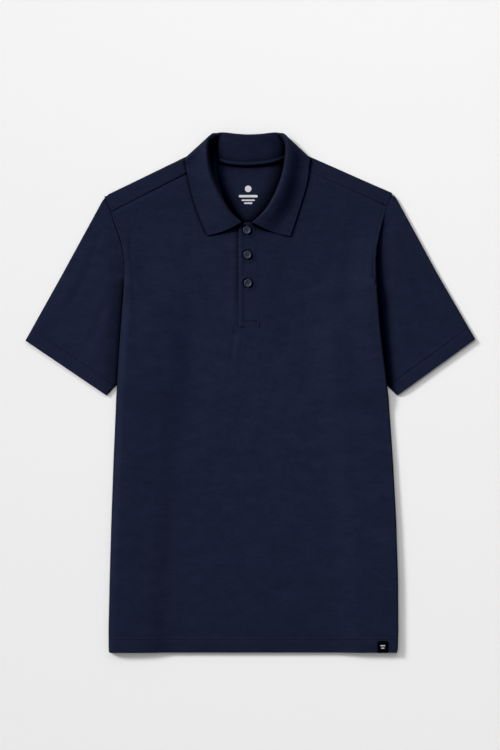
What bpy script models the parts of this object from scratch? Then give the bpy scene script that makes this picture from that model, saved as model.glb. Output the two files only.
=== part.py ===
"""A polo shirt laid flat on its back: collar towards +Y, front up, sides turned under on the sleeves.

Sizes are in millimetres, and MM turns them into Blender's metres. The floor is z = 0. A heights function
gives the middle of a panel's wall, and Solidify gives the wall its thickness on both sides of it.
"""
import math
from collections import namedtuple

import bmesh
import bpy
import numpy as np
from mathutils import Vector

MM = 0.001

# Driving sizes
WALL = 1.0                # knit panels
COLLAR_WALL = 1.4         # ribbed collar
PLACKET_WALL = 1.4        # doubled strip
GAP = 0.35                # between sewn or lying pieces
HALF = 190.0              # a panel's half width in its own coordinates
FRONT_ROLL = 2.4          # radius of the front where its side turns under
BACK_ROLL = 1.0
SHOULDER_ROLL = 1.5
BACK_REST = 0.5           # height of the back's middle, so that its underside lies on the floor
FRONT_REST = 2.2
TURNED_STACK = 3.4        # how much two turned-under layers lift the back
SLEEVE_STACK = 3.2        # how much a sleeve lifts what lies on it
SLEEVE_UNDER = 2.3        # a sleeve's upper layer below the body
SLEEVE_LOFT = 3.5         # and beside it
PLACKET_FOOT = 91.0
BUTTON_RADIUS = 5.7
BUTTON_HEIGHT = 2.4
HEM = -371.2

# The body's edge, a row for each level: how far out it runs on each side, and the cloth turned under there
Level = namedtuple("Level", "y left right turned")
SIDES = (
    Level(-371.2, 199.9, 208.2, 52.0),
    Level(-340.0, 200.0, 208.9, 53.0),
    Level(-269.0, 198.4, 208.6, 55.0),
    Level(-183.0, 196.0, 206.0, 58.0),
    Level(-97.0, 192.9, 201.4, 61.0),
    Level(-9.0, 189.0, 195.2, 65.0),
    Level(48.0, 185.4, 188.3, 67.0),
    Level(80.0, 183.1, 184.3, 68.0),
    Level(105.0, 181.3, 181.9, 43.0),
    Level(130.0, 179.4, 180.1, 18.0),
    Level(140.0, 178.5, 179.2, 8.5),
    Level(147.0, 178.0, 178.6, 5.0),
    Level(155.0, 177.7, 178.3, 2.5),
    Level(165.0, 179.5, 180.2, 0.0),
    Level(189.0, 180.6, 179.9, 0.0),
    Level(207.0, 183.0, 181.4, 0.0),
    Level(222.0, 186.5, 184.6, 0.0),
    Level(235.0, 191.3, 187.4, 0.0),
    Level(247.0, 196.0, 190.0, 0.0),
    Level(259.4, 198.8, 193.2, 0.0),
    Level(268.0, 198.8, 195.5, 0.0),
)
SEAM_LEVEL = 165.0        # above it the armhole seam shows, below it the side turns under

# The shoulder's fold, a row for each distance from the middle
Shoulder = namedtuple("Shoulder", "x left right")
SHOULDERS = (
    Shoulder(40.0, 360.8, 355.6),
    Shoulder(240.0, 263.6, 267.1),
)
SHOULDER_ACROSS = {-1: (-0.4372, 0.8994), 1: (0.4046, 0.9144)}
FORWARD_SEAM = {-1: ((-198.8, 259.4), (-81.5, 319.5)), 1: ((195.5, 268.0), (73.5, 321.0))}

# The collar, a row for each section from the centre front round to the centre back: seam, fold and
# outer edge from above, the fold's height, the leaf's lean (90 above the stand, -90 below it), the
# height of the outer edge (None where it lies on the panels) and the leaf's bow
Section = namedtuple("Section", "seam_x seam_y fold_x fold_y fold_z lean edge_x edge_y edge_z bow")
COLLAR_LEFT = (
    Section(-14.5, 244.5, -12.0, 248.5, 7.6, 90, -61.6, 224.6, None, 6.0),
    Section(-29.0, 246.0, -25.9, 258.0, 8.6, 90, -66.5, 236.0, None, 4.0),
    Section(-48.0, 254.0, -38.9, 276.0, 9.6, 90, -73.5, 252.0, None, 2.0),
    Section(-63.0, 268.0, -49.2, 295.0, 10.0, 90, -80.0, 271.0, None, 0.0),
    Section(-73.5, 287.0, -56.5, 314.0, 10.0, 90, -85.5, 290.0, None, 0.0),
    Section(-79.0, 304.0, -60.1, 334.0, 9.6, 90, -89.5, 309.0, None, 0.0),
    Section(-80.5, 321.0, -60.0, 350.0, 8.4, 80, -92.2, 324.0, None, 0.0),
    Section(-79.0, 333.0, -57.2, 360.0, 6.8, 55, -95.0, 334.5, 6.1, 0.0),
    Section(-74.5, 343.5, -51.0, 368.2, 4.8, 0, -94.6, 340.2, 2.8, 0.0),
    Section(-70.0, 342.5, -46.5, 369.2, 3.8, -50, -84.5, 343.8, 2.2, 0.0),
    Section(-62.0, 338.0, -42.0, 371.3, 3.3, -80, -73.0, 349.8, 1.2, 0.0),
    Section(-50.0, 332.5, -34.0, 371.3, 3.1, -90, -57.0, 342.5, 0.75, 0.0),
    Section(-30.0, 328.6, -20.0, 368.8, 3.1, -90, -32.0, 337.0, 0.75, 0.0),
)
COLLAR_MIDDLE = Section(-3.5, 327.0, -3.9, 367.5, 3.1, -90, -3.5, 334.5, 0.75, 0.0)
COLLAR_RIGHT = (
    Section(7.5, 246.0, 4.5, 250.5, 7.6, 90, 57.3, 223.6, None, 6.0),
    Section(24.0, 247.0, 19.0, 260.5, 8.6, 90, 62.0, 237.0, None, 4.0),
    Section(41.0, 256.0, 31.0, 276.5, 9.6, 90, 67.0, 252.5, None, 2.0),
    Section(54.0, 268.0, 41.0, 296.0, 10.0, 90, 72.8, 271.0, None, 0.0),
    Section(64.0, 287.0, 46.8, 314.0, 10.0, 90, 78.5, 290.0, None, 0.0),
    Section(70.0, 304.0, 50.0, 335.0, 9.6, 90, 82.5, 308.0, None, 0.0),
    Section(72.0, 321.0, 50.8, 350.0, 8.4, 80, 84.6, 323.0, None, 0.0),
    Section(71.0, 333.0, 49.2, 360.0, 6.8, 55, 87.0, 334.0, 6.1, 0.0),
    Section(67.0, 343.5, 44.6, 368.2, 4.8, 0, 86.9, 340.2, 2.8, 0.0),
    Section(63.0, 342.5, 40.6, 369.2, 3.8, -50, 77.0, 343.9, 2.2, 0.0),
    Section(55.0, 338.5, 36.0, 371.3, 3.3, -80, 66.0, 349.2, 1.2, 0.0),
    Section(43.0, 333.5, 28.0, 370.6, 3.1, -90, 50.0, 342.5, 0.75, 0.0),
    Section(24.0, 329.2, 15.0, 368.4, 3.1, -90, 25.0, 337.3, 0.75, 0.0),
)
COLLAR_ROLL = 2.2
NECK_MARGIN = 1.7         # from the collar's seam to the panels' cut edge
NECK_CENTRE = (-3.0, 295.0)

# The sleeves from above: the cuff's ends, and the armpit below the body
Sleeve = namedtuple("Sleeve", "side cuff_outer cuff_inner armpit")
SLEEVES = {
    "sleeve_left": Sleeve(-1, (-321.3, 74.9), (-205.6, -3.2), (-125.0, 80.0)),
    "sleeve_right": Sleeve(1, (321.5, 77.0), (210.2, -3.2), (125.0, 80.0)),
}
ARMHOLE_GAP = 0.5

BUTTONS = {"button_1": (-4.7, 232.0), "button_2": (-3.9, 196.6), "button_3": (-3.3, 156.2)}
LABEL = {"left": 182.6, "right": 195.8, "top": -356.0}

COLOURS = {
    "knit": ((0.0095, 0.0125, 0.0335), 0.85),
    "rib": ((0.0100, 0.0130, 0.0340), 0.85),
    "button": ((0.020, 0.026, 0.052), 0.35),
    "label": ((0.008, 0.008, 0.009), 0.7),
}


def smooth(t):
    """0 to 1 with flat ends."""
    t = min(max(t, 0.0), 1.0)
    return t * t * (3.0 - 2.0 * t)


def read(rows, key, column, at):
    """A column of a table, read between its rows."""
    return float(np.interp(at, [getattr(row, key) for row in rows], [getattr(row, column) for row in rows]))


def name_of(side):
    return "left" if side < 0 else "right"


def body_edge(side, y):
    return read(SIDES, "y", name_of(side), y)


def turned(y):
    return read(SIDES, "y", "turned", y)


def side_of(x):
    return -1 if x < 0 else 1


# Heights of the laid layers

def sleeve_lift(x, y):
    """How much the sleeve below lifts the body."""
    along = smooth((y + 30.0) / 34.0) * (1.0 - smooth((y - 138.0) / 52.0))
    return SLEEVE_STACK * along * smooth((abs(x) - 76.0) / 45.0)


def strip_lift(x, y):
    """1 where the turned-under strips lie below the body, 0 in its middle."""
    from_edge = body_edge(side_of(x), y) - abs(x)
    strip = max(0.0, turned(y) - math.pi * FRONT_ROLL)
    return smooth(1.0 - (from_edge - strip - 4.0) / 38.0)


def below_seam(x, y):
    """Distance from the forward shoulder seam."""
    (x0, y0), (x1, y1) = FORWARD_SEAM[side_of(x)]
    across = SHOULDER_ACROSS[side_of(x)]
    return (x0 - x) * across[0] + (y0 - y) * across[1]


def front_height(x, y):
    lift = strip_lift(x, y) * (1.0 - smooth((y - 140.0) / 110.0))
    near_shoulder = smooth(1.0 - below_seam(x, y) / 45.0)
    rounded = 1.3 * smooth((y - 155.0) / 10.0) * (1.0 - smooth((y - 165.0) / 60.0))
    edge = smooth(1.0 - (body_edge(side_of(x), y) - abs(x)) / 9.0)
    full = TURNED_STACK - 0.3
    shoulder = SHOULDER_ROLL * 2 + BACK_REST - FRONT_REST
    return FRONT_REST + full * lift + sleeve_lift(x, y) + shoulder * near_shoulder - rounded * edge


def back_height(x, y):
    lift = strip_lift(x, y) * (1.0 - smooth((y - 144.0) / 32.0))
    return BACK_REST + TURNED_STACK * lift + sleeve_lift(x, y)


# From a panel's flat coordinates to where its cloth lies

def across_to_x(p, y):
    return p * body_edge(side_of(p), y) / HALF


def x_to_across(x, y):
    return x * HALF / body_edge(side_of(x), y)


def lay_side(p, y, height, radius):
    """A point of a body panel: flat up to its edge, round the roll, then back below."""
    side = side_of(p)
    past = abs(p) - HALF
    if past <= 1e-6 or y >= SEAM_LEVEL:
        x = across_to_x(p, y)
        return Vector((x, y, height(x, y)))
    edge = body_edge(side, y)
    top = height(side * edge, y)
    if past < math.pi * radius:
        angle = past / radius
        return Vector((side * (edge + radius * math.sin(angle)), y, top - radius * (1.0 - math.cos(angle))))
    x = side * (edge - (past - math.pi * radius))
    return Vector((x, y, sleeve_lift(x, y) + top - sleeve_lift(side * edge, y) - 2.0 * radius))


def lay_front(p, y):
    return lay_side(p, y, front_height, FRONT_ROLL)


def shoulder_line(x):
    return read(SHOULDERS, "x", name_of(side_of(x)), abs(x))


def over_shoulder(x, y):
    """How far a point of the flat back lies past the shoulder's fold."""
    return (y - shoulder_line(x)) * SHOULDER_ACROSS[side_of(x)][1]


def lay_back(p, y):
    x = across_to_x(p, y)
    past = over_shoulder(x, y)
    if y < 240.0 or past <= 0.0:
        return lay_side(p, y, back_height, BACK_ROLL)
    across = Vector((*SHOULDER_ACROSS[side_of(x)], 0.0))
    foot = Vector((x, y, BACK_REST)) - across * past
    if past < math.pi * SHOULDER_ROLL:
        angle = past / SHOULDER_ROLL
        rise = SHOULDER_ROLL * (1.0 - math.cos(angle))
        return foot + across * (SHOULDER_ROLL * math.sin(angle)) + Vector((0.0, 0.0, rise))
    return foot - across * (past - math.pi * SHOULDER_ROLL) + Vector((0.0, 0.0, 2.0 * SHOULDER_ROLL))


def unfold_shoulder(x, y):
    """The flat back's point that comes to lie at x, y on the front."""
    across = Vector(SHOULDER_ACROSS[side_of(x)])
    laid = Vector((x, y))
    past = 20.0
    for _ in range(12):
        flat = laid + across * (2.0 * past - math.pi * SHOULDER_ROLL)
        past = 2.0 * past - over_shoulder(*flat)
    return tuple(laid + across * (2.0 * past - math.pi * SHOULDER_ROLL))


# Outlines

def neck_edge(side, rows):
    """The panels' neck edge, just outside the collar's seam, from the centre outwards."""
    points = []
    for row in rows:
        out = Vector((row.seam_x - NECK_CENTRE[0], row.seam_y - NECK_CENTRE[1])).normalized()
        points.append((row.seam_x + out.x * NECK_MARGIN, row.seam_y + out.y * NECK_MARGIN))
    return points


def side_rows(side, radius):
    """The panel's side, from the hem up, in flat coordinates."""
    spare = math.pi * (FRONT_ROLL - radius)
    rows = [row for row in SIDES if row.y <= 248.0]
    return [(side * (HALF + max(0.0, row.turned - spare)), row.y) for row in rows]


def to_flat(points):
    return [(x_to_across(x, y), y) for x, y in points]


def front_outline():
    sides = {}
    for side, rows in ((-1, COLLAR_LEFT), (1, COLLAR_RIGHT)):
        seam = FORWARD_SEAM[side]
        points = side_rows(side, FRONT_ROLL)
        shoulder = []
        for t in (0.0, 0.33, 0.67, 1.0):
            shoulder.append(tuple(Vector(seam[0]).lerp(Vector(seam[1]), t) - Vector(SHOULDER_ACROSS[side]) * GAP))
        neck = [point for point in neck_edge(side, rows) if point[1] < seam[1][1] - 8.0]
        sides[side] = points + to_flat(shoulder) + to_flat(reversed(neck))
    notch_left = to_flat([(-11.0, y) for y in (242.5, 200.0, 150.0, PLACKET_FOOT + 4.0)])
    notch_right = to_flat([(9.0, y) for y in (PLACKET_FOOT + 4.0, 150.0, 200.0, 243.5)])
    return sides[-1] + notch_left + notch_right + sides[1][::-1]


def back_outline():
    sides = {}
    for side, rows in ((-1, COLLAR_LEFT), (1, COLLAR_RIGHT)):
        seam = FORWARD_SEAM[side]
        points = side_rows(side, BACK_ROLL)
        armhole = [(side * body_edge(side, 259.4), 259.4)]
        if side > 0:
            armhole.append((side * body_edge(side, 268.0), 268.0))
        start, end = Vector(seam[0]), Vector(seam[1])
        forward = [unfold_shoulder(*start.lerp(end, t)) for t in (0.0, 0.33, 0.67, 1.0)]
        neck = neck_edge(side, rows)
        corner = [point for point, row in zip(neck, rows) if row.lean < 10]
        points += to_flat(armhole + forward + corner)
        sides[side] = points
    middle = to_flat(neck_edge(1, [COLLAR_MIDDLE]))
    return sides[-1] + middle + sides[1][::-1]


# Building

def material(name):
    found = bpy.data.materials.get(name)
    if found:
        return found
    colour, roughness = COLOURS[name]
    made = bpy.data.materials.new(name)
    made.use_nodes = True
    shader = made.node_tree.nodes["Principled BSDF"]
    shader.inputs["Base Color"].default_value = (*colour, 1.0)
    shader.inputs["Roughness"].default_value = roughness
    shader.inputs["Metallic"].default_value = 0.0
    made.diffuse_color = (*colour, 1.0)
    return made


def add_object(name, mesh, slot, wall=None, even=True):
    """A bmesh in millimetres becomes an object in metres, with a wall if it is a sheet."""
    bmesh.ops.scale(mesh, vec=(MM, MM, MM), verts=mesh.verts)
    data = bpy.data.meshes.new(name)
    mesh.to_mesh(data)
    mesh.free()
    made = bpy.data.objects.new(name, data)
    bpy.data.collections["polo_shirt"].objects.link(made)
    data.materials.append(material(slot))
    if wall:
        solid = made.modifiers.new("wall", "SOLIDIFY")
        solid.thickness = wall * MM
        solid.offset = 0.0
        solid.use_even_offset = even
        solid.use_quality_normals = True
    return made


def cut_lines(mesh, axis, places):
    direction = [0.0, 0.0, 0.0]
    direction[axis] = 1.0
    for place in places:
        point = [0.0, 0.0, 0.0]
        point[axis] = place
        everything = mesh.verts[:] + mesh.edges[:] + mesh.faces[:]
        bmesh.ops.bisect_plane(mesh, geom=everything, dist=0.02, plane_co=point, plane_no=direction)


def panel(outline, across, along, lay):
    """A flat outline, cut along its grid lines and laid."""
    mesh = bmesh.new()
    mesh.faces.new([mesh.verts.new((p, y, 0.0)) for p, y in outline])
    cut_lines(mesh, 0, across)
    cut_lines(mesh, 1, along)
    bmesh.ops.remove_doubles(mesh, verts=mesh.verts, dist=0.3)
    bmesh.ops.dissolve_degenerate(mesh, edges=mesh.edges, dist=0.05)
    bmesh.ops.triangulate(mesh, faces=mesh.faces, quad_method="FIXED")
    for vert in mesh.verts:
        vert.co = lay(vert.co.x, vert.co.y)
    return mesh


def mirrored(values):
    return sorted({-value for value in values} | set(values))


PANEL_LINES = (45.0, 80.0, 95.0, 110.0, 125.0, 143.0, 162.0, 178.0, HALF)
PANEL_ROWS = (-280.0, -180.0, -90.0, -30.0, -12.0, 5.0, 45.0, 80.0, 105.0, 120.0, 130.0, 138.0,
              147.0, 155.0, 165.0, 176.0, 190.0, 207.0, 225.0, 245.0, 262.0, 285.0, 305.0)


def roll_lines(radius):
    round_part = [HALF + math.pi * radius * step / 4.0 for step in (1, 2, 3, 4)]
    return round_part + [HALF + 30.0]


def make_front():
    lines = mirrored(PANEL_LINES + tuple(roll_lines(FRONT_ROLL)))
    return add_object("front", panel(front_outline(), lines, PANEL_ROWS, lay_front), "knit", WALL)


def cut_along_shoulders(mesh):
    """Grid lines along both shoulder folds, in the back's flat coordinates."""
    for side in (-1, 1):
        across = Vector((*SHOULDER_ACROSS[side], 0.0))
        start = Vector((side * 100.0, shoulder_line(side * 100.0), 0.0))
        for step in range(5):
            past = math.pi * SHOULDER_ROLL * step / 4.0
            faces = [face for face in mesh.faces if face.calc_center_median().x * side > 0.0]
            edges = {edge for face in faces for edge in face.edges}
            verts = {vert for face in faces for vert in face.verts}
            bmesh.ops.bisect_plane(mesh, geom=list(verts) + list(edges) + faces, dist=0.02,
                                   plane_co=start + across * past, plane_no=across)


def make_back():
    """The back is cut in true flat sizes along its shoulders, and in panel coordinates elsewhere."""
    mesh = bmesh.new()
    mesh.faces.new([mesh.verts.new((p, y, 0.0)) for p, y in back_outline()])
    lines = mirrored(PANEL_LINES + tuple(roll_lines(BACK_ROLL)))
    cut_lines(mesh, 0, lines)
    cut_lines(mesh, 1, PANEL_ROWS)
    for vert in mesh.verts:
        if vert.co.y > 240.0:
            vert.co.x = across_to_x(vert.co.x, vert.co.y)
    cut_along_shoulders(mesh)
    for vert in mesh.verts:
        if vert.co.y > 240.0:
            vert.co.x = x_to_across(vert.co.x, vert.co.y)
    bmesh.ops.remove_doubles(mesh, verts=mesh.verts, dist=0.3)
    bmesh.ops.dissolve_degenerate(mesh, edges=mesh.edges, dist=0.05)
    bmesh.ops.triangulate(mesh, faces=mesh.faces, quad_method="FIXED")
    for vert in mesh.verts:
        vert.co = lay_back(vert.co.x, vert.co.y)
    return add_object("back", mesh, "knit", WALL)


def bridge(mesh, rows, closed=False):
    """Quads between neighbouring rows of points."""
    rings = [[mesh.verts.new(point) for point in row] for row in rows]
    count = len(rings[0])
    for ring, following in zip(rings, rings[1:]):
        for i in range(count if closed else count - 1):
            j = (i + 1) % count
            mesh.faces.new((ring[i], ring[j], following[j], following[i]))
    return mesh


def armhole_points(sleeve):
    """The sleeve's armhole edge from its head to the armpit, with its upper layer's height."""
    side = sleeve.side
    top = SLEEVE_LOFT
    points = [shoulder_tip(side)]
    for y in (258.5, 247.0, 235.0, 222.0, 207.0, 189.0, 172.0):
        x = side * body_edge(side, y)
        points.append(Vector((x + side * (ARMHOLE_GAP + 0.15 * (y > 215.0)), y, front_height(x, y))))
    if side > 0:
        points.insert(1, Vector((196.2, 267.6, top)))
    roll_foot = front_height(side * body_edge(side, 160.0), 160.0)
    points.append(Vector((side * (body_edge(side, 160.0) + 1.9), 160.0, roll_foot - 1.0)))
    points.append(Vector((side * (body_edge(side, 150.0) + 4.6), 150.0, 4.4)))
    points.append(Vector((side * (body_edge(side, 141.0) + 4.6), 141.0, 2.8)))
    for y, inward in ((132.0, 0.0), (118.0, 12.0), (100.0, 33.0)):
        points.append(Vector((side * (body_edge(side, y) - inward), y, SLEEVE_UNDER)))
    points.append(Vector((*sleeve.armpit, SLEEVE_UNDER)))
    return points


def shoulder_tip(side):
    """The sleeve's head, beside the shoulder fold's outer end."""
    start = Vector(FORWARD_SEAM[side][0])
    flat = Vector(unfold_shoulder(*start))
    before, after = over_shoulder(*start), over_shoulder(*flat)
    tip = start.lerp(flat, -before / (after - before))
    tip += Vector(SHOULDER_ACROSS[side]) * SHOULDER_ROLL
    return Vector((tip.x + side * 2.0 * ARMHOLE_GAP, tip.y, SLEEVE_LOFT))


def spaced(points, share):
    """A polyline's point at this share of its length seen from above."""
    lengths = [0.0]
    for a, b in zip(points, points[1:]):
        lengths.append(lengths[-1] + (b - a).to_2d().length)
    at = share * lengths[-1]
    return Vector([float(np.interp(at, lengths, [point[axis] for point in points])) for axis in range(3)])


SLEEVE_ACROSS = (0.0, 0.035, 0.09, 0.15, 0.21, 0.28, 0.35, 0.42, 0.49, 0.55, 0.6, 0.66, 0.74, 0.86, 0.97, 1.0)
SLEEVE_ALONG = (0.0, 0.03, 0.07, 0.12, 0.2, 0.35, 0.55, 0.7, 0.85, 1.0)


def sleeve_height(sleeve, start, reach, x, y):
    """The upper layer's height, settling from its armhole edge to its own level."""
    out = abs(x) - body_edge(sleeve.side, y) - 6.0
    clear = smooth(out / 12.0) if y < SEAM_LEVEL else 1.0
    level = SLEEVE_UNDER + (SLEEVE_LOFT - SLEEVE_UNDER) * clear
    return level + (start - level) * (1.0 - smooth(reach / 14.0))


def sleeve_ring(sleeve, share):
    """The sleeve's flattened section at this share of the way from armhole to cuff."""
    edge = armhole_points(sleeve)
    ends = (Vector(sleeve.cuff_outer), Vector(sleeve.cuff_inner))
    upper, lower = [], []
    for s in SLEEVE_ACROSS:
        start = spaced(edge, s)
        goal = ends[0].lerp(ends[1], s)
        place = start.to_2d().lerp(goal, share)
        height = sleeve_height(sleeve, start.z, (goal - start.to_2d()).length * share, *place)
        upper.append(Vector((*place, height)))
        lower.append(Vector((*place, BACK_REST)))
    ring = []
    for layer, last in ((upper, lower), (lower[::-1], upper[::-1])):
        ring += layer[1:-1]
        radius = (layer[-1].z - last[-1].z) / 2.0
        outward = (layer[-1] - layer[-2])
        outward.z = 0.0
        outward.normalize()
        centre = (layer[-1] + last[-1]) / 2.0 - outward * abs(radius)
        for angle in (90.0, 45.0, 0.0, -45.0, -90.0):
            turn = math.radians(angle)
            ring.append(centre + outward * (abs(radius) * math.cos(turn)) + Vector((0, 0, radius * math.sin(turn))))
    return ring


def make_sleeve(name, sleeve):
    mesh = bmesh.new()
    bridge(mesh, [sleeve_ring(sleeve, share) for share in SLEEVE_ALONG], closed=True)
    bmesh.ops.recalc_face_normals(mesh, faces=mesh.faces)
    return add_object(name, mesh, "knit", WALL)


def collar_section(row):
    """The middle of the collar's wall from its seam over the fold to its outer edge."""
    lean = math.radians(row.lean)
    on_front = row.edge_z is None
    edge_z = front_height(row.edge_x, row.edge_y) + 1.8 if on_front else row.edge_z
    if on_front and below_seam(row.edge_x, row.edge_y) < 12.0:
        edge_z = max(edge_z, BACK_REST + 2.0 * SHOULDER_ROLL + 1.9)
    seam_z = {True: 3.4, False: 1.9}[row.lean > -30]
    seam = Vector((row.seam_x, row.seam_y, seam_z))
    fold = Vector((row.fold_x, row.fold_y, row.fold_z))
    edge = Vector((row.edge_x, row.edge_y, edge_z))
    to_seam = (seam - fold) * Vector((1, 1, 0))
    to_edge = (edge - fold) * Vector((1, 1, 0))
    to_seam.normalize()
    to_edge.normalize()
    outward = Vector((row.fold_x - NECK_CENTRE[0], row.fold_y - NECK_CENTRE[1] - 20.0, 0.0)).normalized()
    apart = outward * math.cos(lean) + Vector((0, 0, math.sin(lean)))
    stand = fold + to_seam * COLLAR_ROLL - apart * COLLAR_ROLL
    leaf = fold + to_edge * COLLAR_ROLL + apart * COLLAR_ROLL
    bow = Vector((0.0, -row.bow, 0.0))
    points = [seam, seam.lerp(stand, 0.5), stand]
    points += [fold + (to_seam * 0.3 - apart * 0.72) * COLLAR_ROLL, fold]
    points += [fold + (to_edge * 0.3 + apart * 0.72) * COLLAR_ROLL, leaf]
    for t in (0.25, 0.5, 0.75, 1.0):
        belly = math.sin(math.pi * t) * (1.2 if row.lean > 60 else 0.0)
        points.append(leaf.lerp(edge, t) + bow * math.sin(math.pi * t) + Vector((0, 0, belly)))
    return points


def make_collar():
    rows = COLLAR_LEFT + (COLLAR_MIDDLE,) + COLLAR_RIGHT[::-1]
    mesh = bmesh.new()
    bridge(mesh, [collar_section(row) for row in rows])
    bmesh.ops.triangulate(mesh, faces=mesh.faces)
    bmesh.ops.recalc_face_normals(mesh, faces=mesh.faces)
    return add_object("collar", mesh, "rib", COLLAR_WALL, even=False)


def strip(name, outline, along, height, wall, slot):
    """A narrow piece on or in the front: a flat outline at its own height."""
    mesh = bmesh.new()
    mesh.faces.new([mesh.verts.new((x, y, 0.0)) for x, y in outline])
    cut_lines(mesh, 1, along)
    bmesh.ops.triangulate(mesh, faces=mesh.faces)
    for vert in mesh.verts:
        vert.co.z = height(vert.co.x, vert.co.y)
    return add_object(name, mesh, slot, wall)


def placket_height(x, y):
    return front_height(x, y) + (WALL + PLACKET_WALL) / 2.0 + GAP


def make_plackets():
    corner = [(-15.4 + 3.0 * (1 - math.cos(turn)), 238.5 + 3.0 * math.sin(turn)) for turn in (0.0, 0.5, 1.0, 1.57)]
    top = [(-15.4, PLACKET_FOOT), (14.0, PLACKET_FOOT), (14.0, 236.0), (5.0, 241.2)] + corner[::-1]
    strip("placket_top", top, (150.0, 200.0), placket_height, PLACKET_WALL, "knit")
    foot = PLACKET_FOOT + 4.0 + GAP
    under = [(-11.0 + GAP, foot), (9.0 - GAP, foot), (9.0 - GAP, 241.0), (-11.0 + GAP, 241.0)]
    strip("placket_under", under, (150.0, 200.0), front_height, WALL, "knit")


def turned_profile(name, profile, steps):
    """A profile of radius and height, turned round Z by a Screw modifier."""
    mesh = bmesh.new()
    verts = [mesh.verts.new((radius, 0.0, height)) for radius, height in profile]
    for a, b in zip(verts, verts[1:]):
        mesh.edges.new((a, b))
    made = add_object(name, mesh, "button")
    screw = made.modifiers.new("turn", "SCREW")
    screw.steps = steps
    screw.render_steps = steps
    screw.use_merge_vertices = True
    screw.merge_threshold = 0.00001
    return made


def make_cutter(name):
    """Four thread holes as one mesh."""
    mesh = bmesh.new()
    for step in range(4):
        turn = math.radians(45.0 + 90.0 * step)
        made = bmesh.ops.create_cone(mesh, cap_ends=True, segments=8, radius1=0.75, radius2=0.75, depth=10.0)
        bmesh.ops.translate(mesh, verts=made["verts"], vec=(1.75 * math.cos(turn), 1.75 * math.sin(turn), 0.0))
    bmesh.ops.scale(mesh, vec=(MM, MM, MM), verts=mesh.verts)
    data = bpy.data.meshes.new(name)
    mesh.to_mesh(data)
    mesh.free()
    made = bpy.data.objects.new(name, data)
    bpy.data.collections["cutters"].objects.link(made)
    made.hide_render = True
    made.display_type = "WIRE"
    return made


def make_buttons():
    rim = BUTTON_RADIUS
    profile = [(0.0, BUTTON_HEIGHT - 0.8), (rim - 1.9, BUTTON_HEIGHT - 0.8), (rim - 1.3, BUTTON_HEIGHT),
               (rim - 0.5, BUTTON_HEIGHT - 0.1), (rim, BUTTON_HEIGHT - 0.8), (rim - 0.7, 0.3), (rim - 1.6, 0.0),
               (0.0, 0.0)]
    for name, (x, y) in BUTTONS.items():
        button = turned_profile(name, profile, 24)
        seat = placket_height(x, y) + PLACKET_WALL / 2.0 + GAP
        button.location = (x * MM, y * MM, seat * MM)
        cutter = make_cutter(name + "_holes")
        cutter.location = button.location
        cut = button.modifiers.new("holes", "BOOLEAN")
        cut.operation = "DIFFERENCE"
        cut.solver = "EXACT"
        cut.object = cutter


def make_neck_tape():
    """A strip along the back's neck edge, inside."""
    rows = [row for row in COLLAR_LEFT if row.lean <= -80] + [COLLAR_MIDDLE]
    rows += [row for row in COLLAR_RIGHT if row.lean <= -80][::-1]
    mesh = bmesh.new()
    section = []
    for row in rows:
        section.append([Vector((row.seam_x, row.seam_y - inward, BACK_REST + WALL + GAP)) for inward in (2.5, 9.0)])
    bridge(mesh, section)
    return add_object("neck_tape", mesh, "rib", WALL)


def make_label():
    """On the front's hem, with a lip down over its edge."""
    x0, x1 = LABEL["left"], LABEL["right"]
    height = front_height(x0, HEM) + WALL + GAP
    bend = HEM - GAP - WALL / 2.0
    mesh = bmesh.new()
    rows = [[(x, y, z) for x in (x0, x1)] for y, z in
            ((LABEL["top"], height), (bend + 0.5, height), (bend, height - 0.5), (bend, height - 1.6))]
    bridge(mesh, rows)
    bmesh.ops.recalc_face_normals(mesh, faces=mesh.faces)
    return add_object("hem_label", mesh, "label", WALL)


def main():
    for old in list(bpy.data.objects):
        bpy.data.objects.remove(old, do_unlink=True)
    for name in ("polo_shirt", "cutters"):
        made = bpy.data.collections.new(name)
        bpy.context.scene.collection.children.link(made)
    make_front()
    make_back()
    for name, sleeve in SLEEVES.items():
        make_sleeve(name, sleeve)
    make_collar()
    make_plackets()
    make_buttons()
    make_neck_tape()
    make_label()


main()
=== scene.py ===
"""Looks of a polo shirt laid flat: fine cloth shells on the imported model's form, rib collar, seams,
threads, buttons, label, floor, light and camera. Sizes are in millimetres unless a name says otherwise."""
import math
from collections import namedtuple

import bmesh
import bpy
import numpy as np
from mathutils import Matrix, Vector


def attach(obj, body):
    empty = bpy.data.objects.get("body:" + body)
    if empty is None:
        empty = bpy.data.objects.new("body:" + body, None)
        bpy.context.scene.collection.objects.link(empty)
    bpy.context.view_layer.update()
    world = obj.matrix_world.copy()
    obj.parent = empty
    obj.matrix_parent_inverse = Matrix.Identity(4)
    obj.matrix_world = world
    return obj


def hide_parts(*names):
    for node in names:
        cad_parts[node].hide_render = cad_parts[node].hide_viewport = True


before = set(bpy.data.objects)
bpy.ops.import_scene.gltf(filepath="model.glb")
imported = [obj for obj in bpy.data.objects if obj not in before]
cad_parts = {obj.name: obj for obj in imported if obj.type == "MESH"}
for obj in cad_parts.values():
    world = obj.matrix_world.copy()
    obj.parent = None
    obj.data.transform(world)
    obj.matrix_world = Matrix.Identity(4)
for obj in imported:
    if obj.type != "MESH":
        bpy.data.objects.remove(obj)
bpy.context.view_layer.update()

MM = 0.001
SHELL = 0.9               # the visible cloth's thickness
COLLAR_SHELL = 1.4
PLACKET_SHELL = 1.3
TAPE_SHELL = 0.7

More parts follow.
